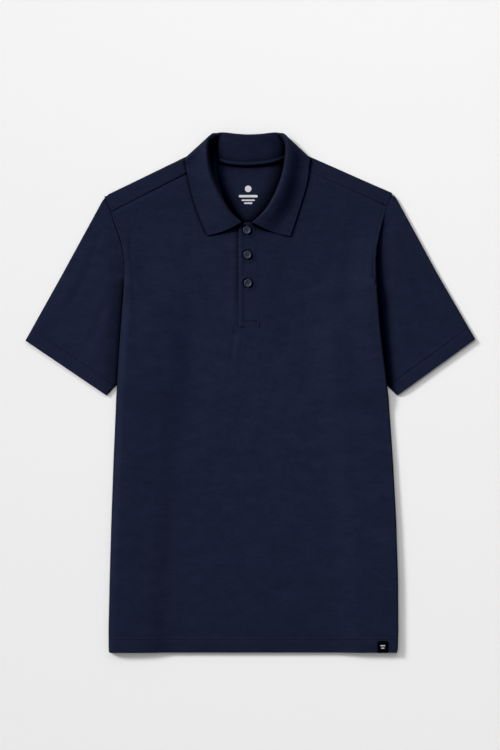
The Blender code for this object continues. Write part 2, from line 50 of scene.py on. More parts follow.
# The laid form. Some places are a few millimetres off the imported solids', where the photograph shows it.
# A side of -1 is the picture's left, 1 its right.
WALL, PLACKET_WALL = 1.0, 1.4   # thicknesses of the solids
GAP = 0.35                # between sewn or lying pieces
HALF = 190.0              # a panel's half width in its own coordinates
FRONT_ROLL, BACK_ROLL, SHOULDER_ROLL = 2.4, 1.0, 1.5   # radii of the turned edges
FRONT_REST, BACK_REST = 2.2, 0.5   # heights of the panels' middles
TURNED_STACK = 3.4        # how much two turned-under layers lift the back
SLEEVE_STACK = 3.2        # how much a sleeve lifts what lies on it
SLEEVE_LOFT = 3.5         # a sleeve's upper layer clear of the body
SLEEVE_LOW = {-1: 2.7, 1: 1.2}  # and below the body or close to it
PLACKET_FOOT = 91.0
PLACKET_LEFT, PLACKET_RIGHT = -17.0, 14.0
HEM_LOFT = 2.2            # how much higher the front lies towards its hem
BUTTON_HEIGHT = 2.4
HOLES_AWAY = 1.55         # the holes' distance from the button's middle
HEM = -371.2
SEAM_LEVEL = 165.0        # above it the armhole seam shows, below it the side turns under


def rows_of(kind, *rows):
    return tuple(kind(*row) for row in rows)


# The body's width on each side of X = 0 and how much of each side is turned under, by level
Level = namedtuple("Level", "y left right turned")
SIDES = rows_of(
    Level,
    (-372, 198.9, 206.8, 52), (-369, 199.7, 207.9, 52), (-364, 199.9, 208.4, 52), (-340, 200, 208.9, 53),
    (-269, 198.4, 208.6, 55), (-183, 196, 206, 58), (-97, 192.9, 201.4, 61), (-9, 189, 195.2, 65),
    (48, 185.4, 188.3, 67), (80, 183.1, 184.3, 68), (105, 181.3, 181.9, 43), (130, 179.4, 180.1, 18),
    (140, 178.5, 179.2, 8.5), (147, 178, 178.6, 5), (155, 177.7, 178.3, 2.5), (165, 179.5, 180.2, 0),
    (189, 180.6, 179.9, 0), (207, 183, 181.4, 0), (222, 186.5, 184.6, 0), (235, 191.3, 187.4, 0),
    (247, 196, 190, 0), (259.4, 198.8, 193.2, 0), (268, 198.8, 195.5, 0),
)
# The shoulder's fold, a row for each distance from the middle, and the direction across it
Shoulder = namedtuple("Shoulder", "x left right")
SHOULDERS = rows_of(Shoulder, (40, 360.8, 355.6), (240, 263.6, 267.1))
SHOULDER_ACROSS = {-1: (-0.4372, 0.8994), 1: (0.4046, 0.9144)}
# The seam in front of that fold, from the armhole to the collar
FORWARD_SEAM = {-1: ((-198.8, 259.4), (-81.5, 319.5)), 1: ((195.5, 268.0), (73.5, 321.0))}

# The collar's cross-sections: where its seam, fold and leaf's edge run, the fold's roundness, how far the
# stand sinks behind it, which way the fold opens (90 up, -90 down to the back) and the leaf edge's bow
Section = namedtuple(
    "Section", "seam_x seam_y fold_x fold_y fold_z roll sink lean edge_x edge_y edge_z bow")
COLLAR_LEFT = rows_of(
    Section,
    (-14.5, 244.5, -12.2, 242.8, 7.6, 2.6, 0, 90, -61.6, 224.6, None, 2.6),
    (-29, 246, -25.6, 255.4, 8.8, 3.4, 0, 90, -66.5, 236, None, 1.6),
    (-48, 254, -38.4, 274.6, 9.6, 4.4, 0, 90, -73.5, 252, None, 0.6),
    (-63, 268, -48.6, 295, 9.8, 4.6, 0, 90, -80, 271, None, 0),
    (-73.5, 287, -55.8, 314, 10.2, 4.6, 1.2, 90, -85.5, 290, None, 0),
    (-79, 304, -59.6, 334, 10.4, 4.6, 2.8, 90, -89.5, 309, None, 0),
    (-80.5, 321, -59.8, 350, 10.4, 4.5, 4.3, 80, -92, 321.5, None, 0),
    (-79, 333, -57.2, 360, 10, 4.2, 5.2, 55, -93.4, 331.6, 6.1, 0),
    (-74.5, 343.5, -51, 367.6, 9, 3.4, 6, 0, -91.8, 336.2, 3.2, 0),
    (-70, 342.5, -46.5, 369.6, 8.4, 3.3, 5.6, -50, -84, 341.8, 2.4, 0),
    (-62, 338, -42, 370.8, 7.8, 3.2, 3, -80, -73, 349.8, 1.2, 0),
    (-50, 332.5, -34, 370.6, 7.8, 3.2, 0.6, -90, -57, 342.5, 0.75, 0),
    (-30, 328.6, -20, 369, 8, 3.2, 0, -90, -32, 337, 0.75, 0),
)
COLLAR_MIDDLE = Section(-3.5, 327, -3.9, 367.9, 8.2, 3.2, 0, -90, -3.5, 334.5, 0.75, 0)
COLLAR_RIGHT = rows_of(
    Section,
    (7.5, 246, 2.8, 242.4, 7.6, 2.6, 0, 90, 57.3, 223.6, None, 2.6),
    (24, 247, 18.2, 257, 8.8, 3.4, 0, 90, 62, 237, None, 1.6),
    (41, 256, 30.6, 275, 9.6, 4.4, 0, 90, 67, 252.5, None, 0.6),
    (54, 268, 40.4, 296, 9.8, 4.6, 0, 90, 72.8, 271, None, 0),
    (64, 287, 46.2, 314, 9.8, 4.6, 0, 90, 78.5, 290, None, 0),
    (70, 304, 49.6, 335, 9.8, 4.6, 0.5, 90, 82.5, 308, None, 0),
    (72, 321, 50.4, 350, 9.6, 4.5, 1.5, 80, 83.9, 321.5, None, 0),
    (71, 333, 49, 360, 9.2, 4.2, 2.5, 55, 84.9, 331.6, 6.1, 0),
    (67, 343.5, 44.6, 367.6, 8.4, 3.4, 4, 0, 83.6, 336.6, 3.2, 0),
    (63, 342.5, 40.6, 369.6, 8, 3.3, 4, -50, 76.4, 342.4, 2.4, 0),
    (55, 338.5, 36, 370.8, 7.8, 3.2, 2, -80, 66, 349.2, 1.2, 0),
    (43, 333.5, 28, 370.2, 7.8, 3.2, 0.4, -90, 50, 342.5, 0.75, 0),
    (24, 329.2, 15, 368.7, 8, 3.2, 0, -90, 25, 337.3, 0.75, 0),
)
# Where the left stand's foot lies instead, by row: it leans into the neck opening
LEFT_FEET = {2: (-35.5, 268), 3: (-40.2, 284), 4: (-44.9, 300), 5: (-47.3, 314), 6: (-47.8, 324),
             7: (-46.9, 331), 8: (-46.4, 334.6), 9: (-45.6, 334.8), 10: (-46.6, 333.2), 11: (-39.5, 331.2)}
NECK_MARGIN = 1.7                # from the collar's seam to the panels' cut edge
NECK_CENTRE = (-3.0, 295.0)

Sleeve = namedtuple("Sleeve", "side cuff_outer cuff_inner armpit")
SLEEVES = {
    "sleeve_left": Sleeve(-1, (-321.6, 73.9), (-206.2, -4.2), (-125.0, 80.0)),
    "sleeve_right": Sleeve(1, (321.8, 76.0), (210.8, -4.2), (125.0, 80.0)),
}
SLEEVE_BOW = {-1: 1.2, 1: 3.6}   # how far the sleeve's upper edge bows out below the shoulder
SLEEVE_OUT = (0.864, 0.504)      # across that edge on the right, and mirrored on the left
BOW_RISE, BOW_END, BOW_DEEP = 0.035, 0.55, 0.22  # shares of the way to the cuff, and round the opening
# Levels where the sleeve follows the armhole; then below it: level, how far inside the edge, rise
ARMHOLE_LEVELS = (258.5, 252, 247, 241, 235, 228, 222, 214, 207, 198, 189, 180, 172, 165)
UNDERARM = ((158, 1, 0.3), (150, 1, 0.3), (141, 1, 0.3), (132, 3, 0), (118, 12, 0), (100, 33, 0))
ARMHOLE_GAP = 0.35
# Radius and height of a button's outline, from its hollow round its rim to its underside
BUTTON_PROFILE = ((0.0, 1.45), (2.6, 1.45), (3.4, 1.55), (3.8, 1.95), (4.15, 2.32), (4.6, BUTTON_HEIGHT),
                  (5.15, 2.28), (5.55, 1.9), (5.7, 1.4), (5.5, 0.8), (4.9, 0.25), (4.2, 0.0), (0.0, 0.0))
BUTTONS = {"button_1": (-4.7, 232.0), "button_2": (-3.9, 196.6), "button_3": (-3.3, 156.2)}
LABEL_LEFT, LABEL_RIGHT, LABEL_TOP = 182.6, 195.8, -356.0
LABEL_BARS = ((-361.5, 7.0), (-365.0, 4.6))   # level and width
# A disc over three bars: x, y, width, height
NECK_PRINT = ((-3.0, 291.5, 9.4, 9.4), (-3.0, 281.0, 27.0, 3.4), (-3.0, 275.2, 19.0, 2.2),
              (-3.0, 271.0, 12.0, 2.2))
HEM_ROWS = (16.9, 21.6)          # the hem's two stitch rows, above its edge
CUFF_ROW = 18.6
SEAM_OVERLAP = 2.2               # the front's reach under the back at the shoulder
TOPSTITCH = 4.6                  # inside the armhole seam
WELT_HEIGHT, WELT_WIDTH, WELT_FALL = 3.4, 10.5, 70.0  # the swell behind the left edge

# Creases pressed into the laid front, a row each: from, to, how wide, how deep (below zero a ridge)
Crease = namedtuple("Crease", "x0 y0 x1 y1 width depth")
FRONT_CREASES = rows_of(
    Crease,
    (-170, 232, -167, 126, 9, 0.9), (-150, 205, -147, 120, 22, 0.5), (168, 238, 166, 140, 9, 0.55),
    (-15.6, 106, -20.5, 34, 4.2, -0.9), (-21, 100, -27, 40, 5, 0.5), (16, 84, 20, 40, 8, 0.3),
    (-120, 60, -96, -60, 26, 0.5), (118, 40, 92, -90, 28, 0.45), (-60, -110, 40, -150, 30, 0.35),
    (60, -210, 150, -180, 24, 0.35), (-160, -240, -60, -285, 26, 0.4), (20, -310, 110, -296, 16, -0.3),
    (-110, 262, -70, 190, 16, 0.4), (105, 262, 70, 190, 16, 0.4), (-100, -345, -92, -300, 9, 0.3),
    (75, -345, 82, -312, 8, 0.3),
)
SLEEVE_CREASES = {
    -1: rows_of(Crease, (-206, 236, -262, 120, 12, 0.7), (-230, 205, -296, 92, 18, -0.5),
                (-200, 130, -240, 60, 12, 0.6), (-212, 80, -236, 34, 9, -0.4)),
    1: rows_of(Crease, (204, 240, 258, 120, 12, 0.6), (232, 200, 292, 96, 18, -0.5),
               (204, 128, 246, 58, 13, 0.6), (216, 70, 240, 34, 9, -0.4)),
}
Ridge = namedtuple("Ridge", "y high")   # how far the front's armhole edge stands up, by level
RIDGE = rows_of(Ridge, (-30, 0), (20, 0.9), (60, 2), (110, 2.6), (140, 3), (165, 3.7), (189, 4.1),
                (207, 3.2), (222, 2.1), (235, 1.1), (250, 0.4), (262, 0.1), (275, 0))
RIDGE_WALL = {-1: 3.0, 1: 1.5}   # how wide its rise from the seam is, by side
RIDGE_FALL = {-1: 22.0, 1: 42.0}
RIDGE_SHARE = {-1: 0.62, 1: 1.2}


# Reading tables and laying cloth; x, y and p may be arrays

def smooth(t):
    t = np.clip(t, 0, 1)
    return t * t * (3 - 2 * t)


def fade(t):
    return 1 - smooth(t)


def curve(keys, values, at):
    """A smooth curve through a table's rows."""
    keys, values, at = np.asarray(keys, float), np.asarray(values, float), np.asarray(at, float)
    slopes = np.gradient(values, keys)
    at = np.clip(at, keys[0], keys[-1])
    i = np.clip(np.searchsorted(keys, at, side="right") - 1, 0, len(keys) - 2)
    span = keys[i + 1] - keys[i]
    t = (at - keys[i]) / span
    a, b = values[i], values[i + 1]
    t2, t3 = t * t, t * t * t
    return ((2 * t3 - 3 * t2 + 1) * a + (t3 - 2 * t2 + t) * span * slopes[i]
            + (-2 * t3 + 3 * t2) * b + (t3 - t2) * span * slopes[i + 1])


def column(rows, name):
    return [getattr(row, name) for row in rows]


def path_lengths(points):
    """How far along a path each of its points lies."""
    return np.append(0, np.cumsum(np.linalg.norm(np.diff(points, axis=0), axis=1)))


def body_edge(x, y):
    """How far out the body runs at this level, on the side that x is on."""
    left = np.interp(y, column(SIDES, "y"), column(SIDES, "left"))
    right = np.interp(y, column(SIDES, "y"), column(SIDES, "right"))
    return np.where(np.asarray(x) < 0, left, right)


def turned(y):
    return np.interp(y, column(SIDES, "y"), column(SIDES, "turned"))


def bell(distance, width, height):
    """A rounded ridge or groove across a line."""
    return height * np.exp(-(distance / width) ** 2)


def between(at, low, rise, high, fall):
    """Comes up from low and goes down again from high."""
    return smooth((at - low) / rise) * fade((at - high) / fall)


def inside_edge(x, y):
    return body_edge(x, y) - np.abs(x)


def sleeve_lift(x, y):
    """The body's rise over the sleeves that pass below it."""
    return SLEEVE_STACK * between(y, -30, 34, 138, 52) * smooth((np.abs(x) - 76) / 45)


def strip_lift(x, y):
    """How far the turned-under strips reach below this place, from 0 to 1."""
    strip = np.maximum(0, turned(y) - math.pi * FRONT_ROLL)
    return smooth(1 - (inside_edge(x, y) - strip - 4) / 38)


def by_side(x, values):
    return np.where(np.asarray(x) < 0, values[-1], values[1])


def pair_by_side(x, pairs):
    """Both coordinates of the pair for the side that x is on."""
    return [by_side(x, {side: pairs[side][axis] for side in (-1, 1)}) for axis in (0, 1)]


def below_seam(x, y):
    """The distance below the forward shoulder seam."""
    x0, y0 = pair_by_side(x, {side: start for side, (start, _) in FORWARD_SEAM.items()})
    across_x, across_y = pair_by_side(x, SHOULDER_ACROSS)
    return (x0 - x) * across_x + (y0 - y) * across_y


def crease_depth(creases, x, y):
    """How far the creases press the cloth down here; each fades towards its ends."""
    total = np.zeros_like(np.asarray(x, float) + np.asarray(y, float))
    for x0, y0, x1, y1, width, depth in creases:
        dx, dy = x1 - x0, y1 - y0
        length = math.hypot(dx, dy)
        t = ((x - x0) * dx + (y - y0) * dy) / length ** 2
        off = ((x - x0) * dy - (y - y0) * dx) / length
        wander = 0.25 * width * np.sin(t * 5 + x0)
        total = total + (bell(off - wander, 0.55 * width, depth)
                         * smooth((t + 0.15) / 0.4) * smooth((1.15 - t) / 0.4))
    return total


def front_form(x, y):
    """Height of the front's laid middle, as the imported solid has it."""
    lift = strip_lift(x, y) * fade((y - 140) / 110)
    near_shoulder = smooth(1 - below_seam(x, y) / 45)
    rounded = 1.3 * between(y, 155, 10, 165, 60) * smooth(1 - inside_edge(x, y) / 9)
    shoulder = SHOULDER_ROLL * 2 + BACK_REST - FRONT_REST
    return FRONT_REST + (TURNED_STACK - 0.3) * lift + sleeve_lift(x, y) + shoulder * near_shoulder - rounded


def armhole_ridge(x, y):
    """The front's edge along the armhole stands proud of the sleeve, and falls steeply to its seam."""
    high = curve(column(RIDGE, "y"), column(RIDGE, "high"), y) * by_side(x, RIDGE_SHARE)
    inside, wide = np.maximum(0, inside_edge(x, y)), by_side(x, RIDGE_WALL)
    wall = 0.15 + 0.85 * np.sin(math.pi / 2 * np.clip(inside / wide, 0, 1))
    wall = np.maximum(wall, smooth((173 - y) / 24))
    return high * wall * fade((inside - wide) / by_side(x, RIDGE_FALL))


def shoulder_tuck(x, y):
    """The front passes under the back's forward strip at the shoulder seam."""
    below = below_seam(x, y)
    return 1.25 * fade((below + 1.2) / 3.4) + bell(below - 1.2, 1.6, 0.25)


def placket_rise(x, y):
    """The front comes up level with the placket that is stitched to it on the right and at its foot, and
    a little along its free edge."""
    across = between(x, 4, 6, PLACKET_RIGHT + 1, 46)
    along = between(y, PLACKET_FOOT - 34, 30, 226, 30)
    foot = np.exp(-((x + 1) / 15) ** 4) * smooth((y - PLACKET_FOOT + 30) / 30) * (y < 130)
    beside = bell(x - PLACKET_LEFT + 6.4, 4, 0.8) * fade((x - PLACKET_LEFT + 5.2) / 4.2)
    beside *= between(y, PLACKET_FOOT - 6, 20, 222, 16)
    return 1.5 * np.maximum(across * along, foot) + beside


def side_welt(x, y):
    """The cloth swells behind its left edge, where two layers turn under, and so catches the light."""
    inside = np.maximum(0, inside_edge(x, y))
    high = WELT_HEIGHT * smooth((152 - y) / 52) * (0.45 + 0.55 * smooth((y + 330) / 200))
    rounded = 1 - (1 - np.clip(inside / WELT_WIDTH, 0, 1)) ** 2
    welt = high * rounded * fade((inside - WELT_WIDTH) / WELT_FALL)
    return np.where(np.asarray(x) < 0, welt, 0.0)


def front_height(x, y):
    """The front with its creases, doubled hem, armhole ridge and stitch grooves."""
    inside, above = inside_edge(x, y), y - HEM
    # a little spare height in the middle, so that the creases have cloth to sink into
    spare = 0.35 * (smooth((inside - 4) / 24) * smooth(above / 30))
    height = front_form(x, y) + spare - crease_depth(FRONT_CREASES, x, y)
    height += armhole_ridge(x, y) - shoulder_tuck(x, y) + placket_rise(x, y)
    height += HEM_LOFT * fade((y + 300) / 260) + side_welt(x, y)
    height += 0.35 * fade((above - 20.6) / 2.4)
    for row in HEM_ROWS:
        height -= bell(above - row, 1.1, 0.42)
    return height - smooth((y - 128) / 20) * bell(inside - TOPSTITCH, 0.8, 0.3)


def back_height(x, y):
    """Height of the back's laid middle."""
    lift = strip_lift(x, y) * fade((y - 144) / 32)
    return BACK_REST + TURNED_STACK * lift + sleeve_lift(x, y)


def across_to_x(p, y):
    return p * body_edge(p, y) / HALF


def x_to_across(x, y):
    return x * HALF / body_edge(x, y)


def lay_side(p, y, height, form, radius):
    """Points of a body panel at p across its cut: flat up to its edge, round the roll, then back below."""
    side = np.where(p < 0, -1, 1)
    past = np.abs(p) - HALF
    flat_x, edge = across_to_x(p, y), body_edge(p, y)
    top = height(side * edge, y)
    angle = np.clip(past, 0, math.pi * radius) / radius
    roll_x = side * (edge + radius * np.sin(angle))
    below = form(side * edge, y) - 2 * radius
    roll_z = top - (top - below) / 2 * (1 - np.cos(angle))
    strip_x = side * (edge - (past - math.pi * radius))
    strip_z = sleeve_lift(strip_x, y) + below - sleeve_lift(side * edge, y)
    rolled = (past > 1e-6) & (y < SEAM_LEVEL)
    turned_in = rolled & (past > math.pi * radius)
    x = np.where(turned_in, strip_x, np.where(rolled, roll_x, flat_x))
    z = np.where(turned_in, strip_z, np.where(rolled, roll_z, height(flat_x, y)))
    return np.stack([x, y, z], axis=-1)


def lay_front(p, y):
    return lay_side(p, y, front_height, front_form, FRONT_ROLL)


def shoulder_line(x):
    return by_side(x, {side: np.interp(np.abs(x), column(SHOULDERS, "x"), column(SHOULDERS, name))
                       for side, name in ((-1, "left"), (1, "right"))})


def shoulder_across(x):
    return np.stack(pair_by_side(x, SHOULDER_ACROSS), -1)


def over_shoulder(x, y):
    return (y - shoulder_line(x)) * shoulder_across(x)[..., 1]


def lay_back(p, y):
    """The back, carried over the shoulders to the forward seams."""
    flat = lay_side(p, y, back_height, back_height, BACK_ROLL)
    x = across_to_x(p, y)
    past, across = over_shoulder(x, y), shoulder_across(x)
    foot = np.stack([x, y], -1) - across * past[..., None]
    angle = np.clip(past, 0, math.pi * SHOULDER_ROLL) / SHOULDER_ROLL
    beyond = np.maximum(0, past - math.pi * SHOULDER_ROLL)
    place = foot + across * (SHOULDER_ROLL * np.sin(angle) - beyond)[..., None]
    height = BACK_REST + SHOULDER_ROLL * (1 - np.cos(angle))
    folded = np.concatenate([place, height[..., None]], axis=-1)
    return np.where(((y > 240) & (past > 0))[..., None], folded, flat)


def unfold_shoulder(x, y):
    """The flat back's point that comes to lie at x, y on the front."""
    laid, past = np.array([x, y]), 20
    across = shoulder_across(np.float64(x))
    for _ in range(12):
        flat = laid + across * (2 * past - math.pi * SHOULDER_ROLL)
        past = 2 * past - float(over_shoulder(flat[0], flat[1]))
    return tuple(laid + across * (2 * past - math.pi * SHOULDER_ROLL))


# Outlines in flat coordinates

def neck_edge(rows):
    """The neckline of the body, a little outside the collar's seam."""
    points = []
    for row in rows:
        out = Vector((row.seam_x - NECK_CENTRE[0], row.seam_y - NECK_CENTRE[1])).normalized()
        points.append((row.seam_x + out.x * NECK_MARGIN, row.seam_y + out.y * NECK_MARGIN))
    return points


def side_rows(side, radius):
    """The side's edge, with what is turned under."""
    spare = math.pi * (FRONT_ROLL - radius)
    rows = [row for row in SIDES if row.y <= 248]
    return [(side * (HALF + max(0, row.turned - spare)), row.y) for row in rows]


def to_flat(points):
    return [(float(x_to_across(x, y)), float(y)) for x, y in points]


def seam_line(side):
    """Points of the forward shoulder seam, from the armhole to the collar."""
    start, end = (Vector(point) for point in FORWARD_SEAM[side])
    return [start.lerp(end, t) for t in (0, 0.33, 0.67, 1)]


def front_outline():
    """The front's cut: its left side upwards, down the placket notch and up again, its right side down."""
    sides, foot = {}, PLACKET_FOOT + 4
    for side, rows in ((-1, COLLAR_LEFT), (1, COLLAR_RIGHT)):
        over = Vector(SHOULDER_ACROSS[side]) * SEAM_OVERLAP
        shoulder = [tuple(point + over) for point in seam_line(side)]
        neck = [point for point in neck_edge(rows) if point[1] < FORWARD_SEAM[side][1][1] - 8]
        sides[side] = side_rows(side, FRONT_ROLL) + to_flat(shoulder + neck[::-1])
    notch = [(-11, y) for y in (242.5, 200, 150, foot)] + [(9, y) for y in (foot, 150, 200, 243.5)]
    return sides[-1] + to_flat(notch) + sides[1][::-1]


def back_outline():
    """The back's cut: its left side upwards, over the shoulder, round the neck and down the right side."""
    sides = {}
    for side, rows in ((-1, COLLAR_LEFT), (1, COLLAR_RIGHT)):
        levels = (259.4, 268.0) if side > 0 else (259.4,)
        armhole = [(side * float(body_edge(side, y)), y) for y in levels]
        forward = [unfold_shoulder(*point) for point in seam_line(side)]
        corner = [point for point, row in zip(neck_edge(rows), rows) if row.lean < 10]
        sides[side] = side_rows(side, BACK_ROLL) + to_flat(armhole + forward + corner)
    return sides[-1] + to_flat(neck_edge([COLLAR_MIDDLE])) + sides[1][::-1]


# A fine grid that fills an outline

def nearest_on(outline, points):
    """For each point, the nearest place on the outline."""
    best, places = np.full(len(points), np.inf), points.copy()
    for a, b in zip(outline, np.roll(outline, -1, axis=0)):
        along = b - a
        t = np.clip(((points - a) @ along) / max(float(along @ along), 1e-9), 0, 1)
        spot = a + t[:, None] * along
        away = np.hypot(*(points - spot).T)
        closer = away < best
        best[closer] = away[closer]
        places[closer] = spot[closer]
    return places


def inside(outline, points):
    """Which of the points lie inside the outline."""
    within = np.zeros(len(points), bool)
    for (ax, ay), (bx, by) in zip(outline, np.roll(outline, -1, axis=0)):
        crosses = (ay > points[:, 1]) != (by > points[:, 1])
        if ay != by:
            within ^= crosses & (points[:, 0] < (bx - ax) * (points[:, 1] - ay) / (by - ay) + ax)
    return within


def fill_outline(outline, columns, rows):
    """Grid points and quads inside the outline, with the border drawn onto it."""
    outline = np.array(outline, float)
    columns, rows = np.array(sorted(columns)), np.array(sorted(rows))
    middles = np.stack(np.meshgrid((columns[1:] + columns[:-1]) / 2, (rows[1:] + rows[:-1]) / 2), -1)
    kept = inside(outline, middles.reshape(-1, 2)).reshape(middles.shape[:2])
    points = np.stack(np.meshgrid(columns, rows), -1)
    uses = np.zeros(points.shape[:2], int)
    for dy in (0, 1):
        for dx in (0, 1):
            uses[dy:dy + kept.shape[0], dx:dx + kept.shape[1]] += kept
    border = (uses > 0) & (uses < 4)
    points[border] = nearest_on(outline, points[border])
    index = np.full(uses.shape, -1)
    index[uses > 0] = np.arange((uses > 0).sum())
    j, i = np.nonzero(kept)
    quads = np.stack([index[j, i], index[j, i + 1], index[j + 1, i + 1], index[j + 1, i]], -1)
    points = points[uses > 0]
    snap_corners(outline, points, index[border])
    return points, quads.tolist()


def snap_corners(outline, points, border):
    """Moves the border's nearest point onto each of the outline's sharp corners."""
    before, after = np.roll(outline, 1, axis=0), np.roll(outline, -1, axis=0)
    for corner, a, b in zip(outline, before, after):
        into, out = corner - a, b - corner
        turn = abs(math.atan2(into[0] * out[1] - into[1] * out[0], into @ out))
        if turn > 0.6:
            nearest = border[np.argmin(np.hypot(*(points[border] - corner).T))]
            points[nearest] = corner


def steps(*stretches):
    """Places along an axis, stretch by stretch: (from, to, spacing)."""
    found = []
    for start, end, spacing in stretches:
        count = max(1, round(abs(end - start) / spacing))
        found += [start + (end - start) * i / count for i in range(count)]
    return found + [stretches[-1][1]]


# Objects

def placed(name, data):
    """An object of this mesh, light or camera, in the scene."""
    made = bpy.data.objects.new(name, data)
    bpy.context.scene.collection.objects.link(made)
    return made


def shade(made, sharp_from=60):
    made.data.shade_smooth()
    made.data.set_sharp_from_angle(angle=math.radians(sharp_from))


def new_object(name, verts, faces, flat=None, wall=None):
    """A mesh in millimetres as an object in metres, with a wall and smooth shading. flat holds each
    vertex's place in the cut cloth, in millimetres, and becomes the UV map in metres."""
    data = bpy.data.meshes.new(name)
    data.from_pydata((np.asarray(verts, float) * MM).tolist(), [], faces)
    if flat is not None:
        layer = data.uv_layers.new(name="cut")
        at = np.empty(len(data.loops), np.int32)
        data.loops.foreach_get("vertex_index", at)
        layer.data.foreach_set("uv", (np.asarray(flat, float)[at] * MM).ravel())
    made = placed(name, data)
    bm = bmesh.new()
    bm.from_mesh(data)
    bmesh.ops.remove_doubles(bm, verts=bm.verts, dist=0.00002)
    bmesh.ops.dissolve_degenerate(bm, edges=bm.edges, dist=0.00001)
    bmesh.ops.recalc_face_normals(bm, faces=bm.faces)
    bm.to_mesh(data)
    bm.free()
    if wall:
        solid = made.modifiers.new("wall", "SOLIDIFY")
        solid.thickness = wall * MM
        solid.offset = 0
        apply_modifiers(made)
    shade(made)
    return made


def apply_modifiers(made):
    graph = bpy.context.evaluated_depsgraph_get()
    done = bpy.data.meshes.new_from_object(made.evaluated_get(graph))
    old = made.data
    made.modifiers.clear()
    made.data = done
    bpy.data.meshes.remove(old)
    done.name = made.name


def dress(made, material, slot, *nodes):
    """Gives a piece its material and its body, and hides the CAD nodes that it stands for."""
    made.data.materials.clear()
    made.data.materials.append(material)
    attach(made, "root")
    if nodes:
        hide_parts(*nodes)


def grid_faces(rows, columns, closed=False):
    """Quads of a grid of vertices, its rows rings if it is closed."""
    faces = []
    for j in range(0, (rows - 1) * columns, columns):
        for i in range(columns if closed else columns - 1):
            k = (i + 1) % columns
            faces.append((j + i, j + k, j + columns + k, j + columns + i))
    return faces


# Materials

def principled(name, roughness, specular, sheen=0):
    made = bpy.data.materials.new(name)
    made.use_nodes = True
    shader = made.node_tree.nodes["Principled BSDF"]
    for socket, value in (("Roughness", roughness), ("Specular IOR Level", specular),
                          ("Sheen Weight", sheen), ("Sheen Roughness", 0.6)):
        shader.inputs[socket].default_value = value
    return made, made.node_tree, shader


def add(tree, kind, inputs, out=0, **settings):
    """A new shader node's output. inputs maps its sockets to values, or to the outputs that feed them."""
    made = tree.nodes.new("ShaderNode" + kind)
    for key, value in settings.items():
        setattr(made, key, value)
    for socket, value in inputs.items():
        if isinstance(value, bpy.types.NodeSocket):
            tree.links.new(value, made.inputs[socket])
        else:
            made.inputs[socket].default_value = value
    return made.outputs[out]


def calc(tree, operation, *values):
    return add(tree, "Math", dict(enumerate(values)), operation=operation)


def axes(tree, place):
    split = tree.nodes.new("ShaderNodeSeparateXYZ")
    tree.links.new(place, split.inputs[0])
    return split.outputs


def noise(tree, where, scale, detail, roughness):
    inputs = {"Vector": where, "Scale": scale, "Detail": detail, "Roughness": roughness}
    return add(tree, "TexNoise", inputs)


def carried(tree, value, *ranges):
    """A value carried from one range into another, and held at its ends."""
    names = ("Value", "From Min", "From Max", "To Min", "To Max")
    return add(tree, "MapRange", dict(zip(names, (value, *ranges))))


def mottled(tree, dark, light):
    """A colour with soft blotches, smaller patches and a fine heather."""
    drawn = add(tree, "VectorMath", {0: add(tree, "TexCoord", {}, "Object"), 1: (0.6, 1.45, 1)},
                operation="MULTIPLY")
    total = 0
    for scale, share in BLOTCHES:
        total = calc(tree, "MULTIPLY_ADD", noise(tree, drawn, scale, 3, 0.6), share, total)
    ramp = tree.nodes.new("ShaderNodeValToRGB")
    for element, position, color in zip(ramp.color_ramp.elements, (0.36, 0.64), (dark, light)):
        element.position, element.color = position, (*color, 1)
    tree.links.new(total, ramp.inputs["Fac"])
    return ramp.outputs["Color"]


def shaded(tree, color):
    """The colour with painted shade: darker in hollows, where shade falls and dark cloth sends little light
    back, and a little darker towards the hem and at the upper right, where the light falls off."""
    # painted shade in hollows: the colour is scaled down by ambient occlusion
    hollow = add(tree, "AmbientOcclusion", {"Distance": HOLLOW_SHADE_REACH}, "AO", samples=12)
    x, y, _ = axes(tree, add(tree, "TexCoord", {}, "Object"))
    # painted shade: darker towards the hem and at the upper right, where the light falls off
    low = carried(tree, y, -0.372, 0.06, 0.87, 1)
    upper = carried(tree, calc(tree, "MULTIPLY_ADD", x, 0.6, y), 0.04, 0.30, 1, 0.86)
    depth = calc(tree, "POWER", hollow, HOLLOW_SHADE_POWER)
    painted_shade = calc(tree, "MULTIPLY", depth, calc(tree, "MULTIPLY", low, upper))
    return add(tree, "VectorMath", {0: color, "Scale": painted_shade}, operation="SCALE")


def wave(tree, place, per_metre):
    """The sine of a place along an axis."""
    return calc(tree, "SINE", calc(tree, "MULTIPLY", place, 2 * math.pi * per_metre))


def bump(tree, shader, height, strength, distance=0.0003):
    normal = add(tree, "Bump", {"Height": height, "Strength": strength, "Distance": distance})
    tree.links.new(normal, shader.inputs["Normal"])


def cloth_material(name):
    """Navy cloth and what its relief is drawn with: the tree, the shader and the cut cloth's two axes."""
    made, tree, shader = principled(name, 0.95, 0.06, 0.02)
    tree.links.new(shaded(tree, mottled(tree, NAVY_DARK, NAVY_LIGHT)), shader.inputs["Base Color"])
    u, v, _ = axes(tree, add(tree, "UVMap", {}))
    return made, tree, shader, u, v


def knit_material():
    """Pique: staggered dimples over a soft unevenness."""
    made, tree, shader, u, v = cloth_material("knit")
    dimples = calc(tree, "MULTIPLY", wave(tree, u, DIMPLES[0]), wave(tree, v, DIMPLES[1]))
    soft = noise(tree, add(tree, "TexCoord", {}, "Object"), 55, 4, 0.62)
    bump(tree, shader, calc(tree, "MULTIPLY_ADD", soft, 5, dimples), 0.35)
    return made


def rib_material():
    """Flat knit with fine ribs along its height."""
    made, tree, shader, u, v = cloth_material("rib")
    bump(tree, shader, calc(tree, "MULTIPLY_ADD", wave(tree, v, COURSES), 0.35, wave(tree, u, RIBS)), 0.4)
    return made


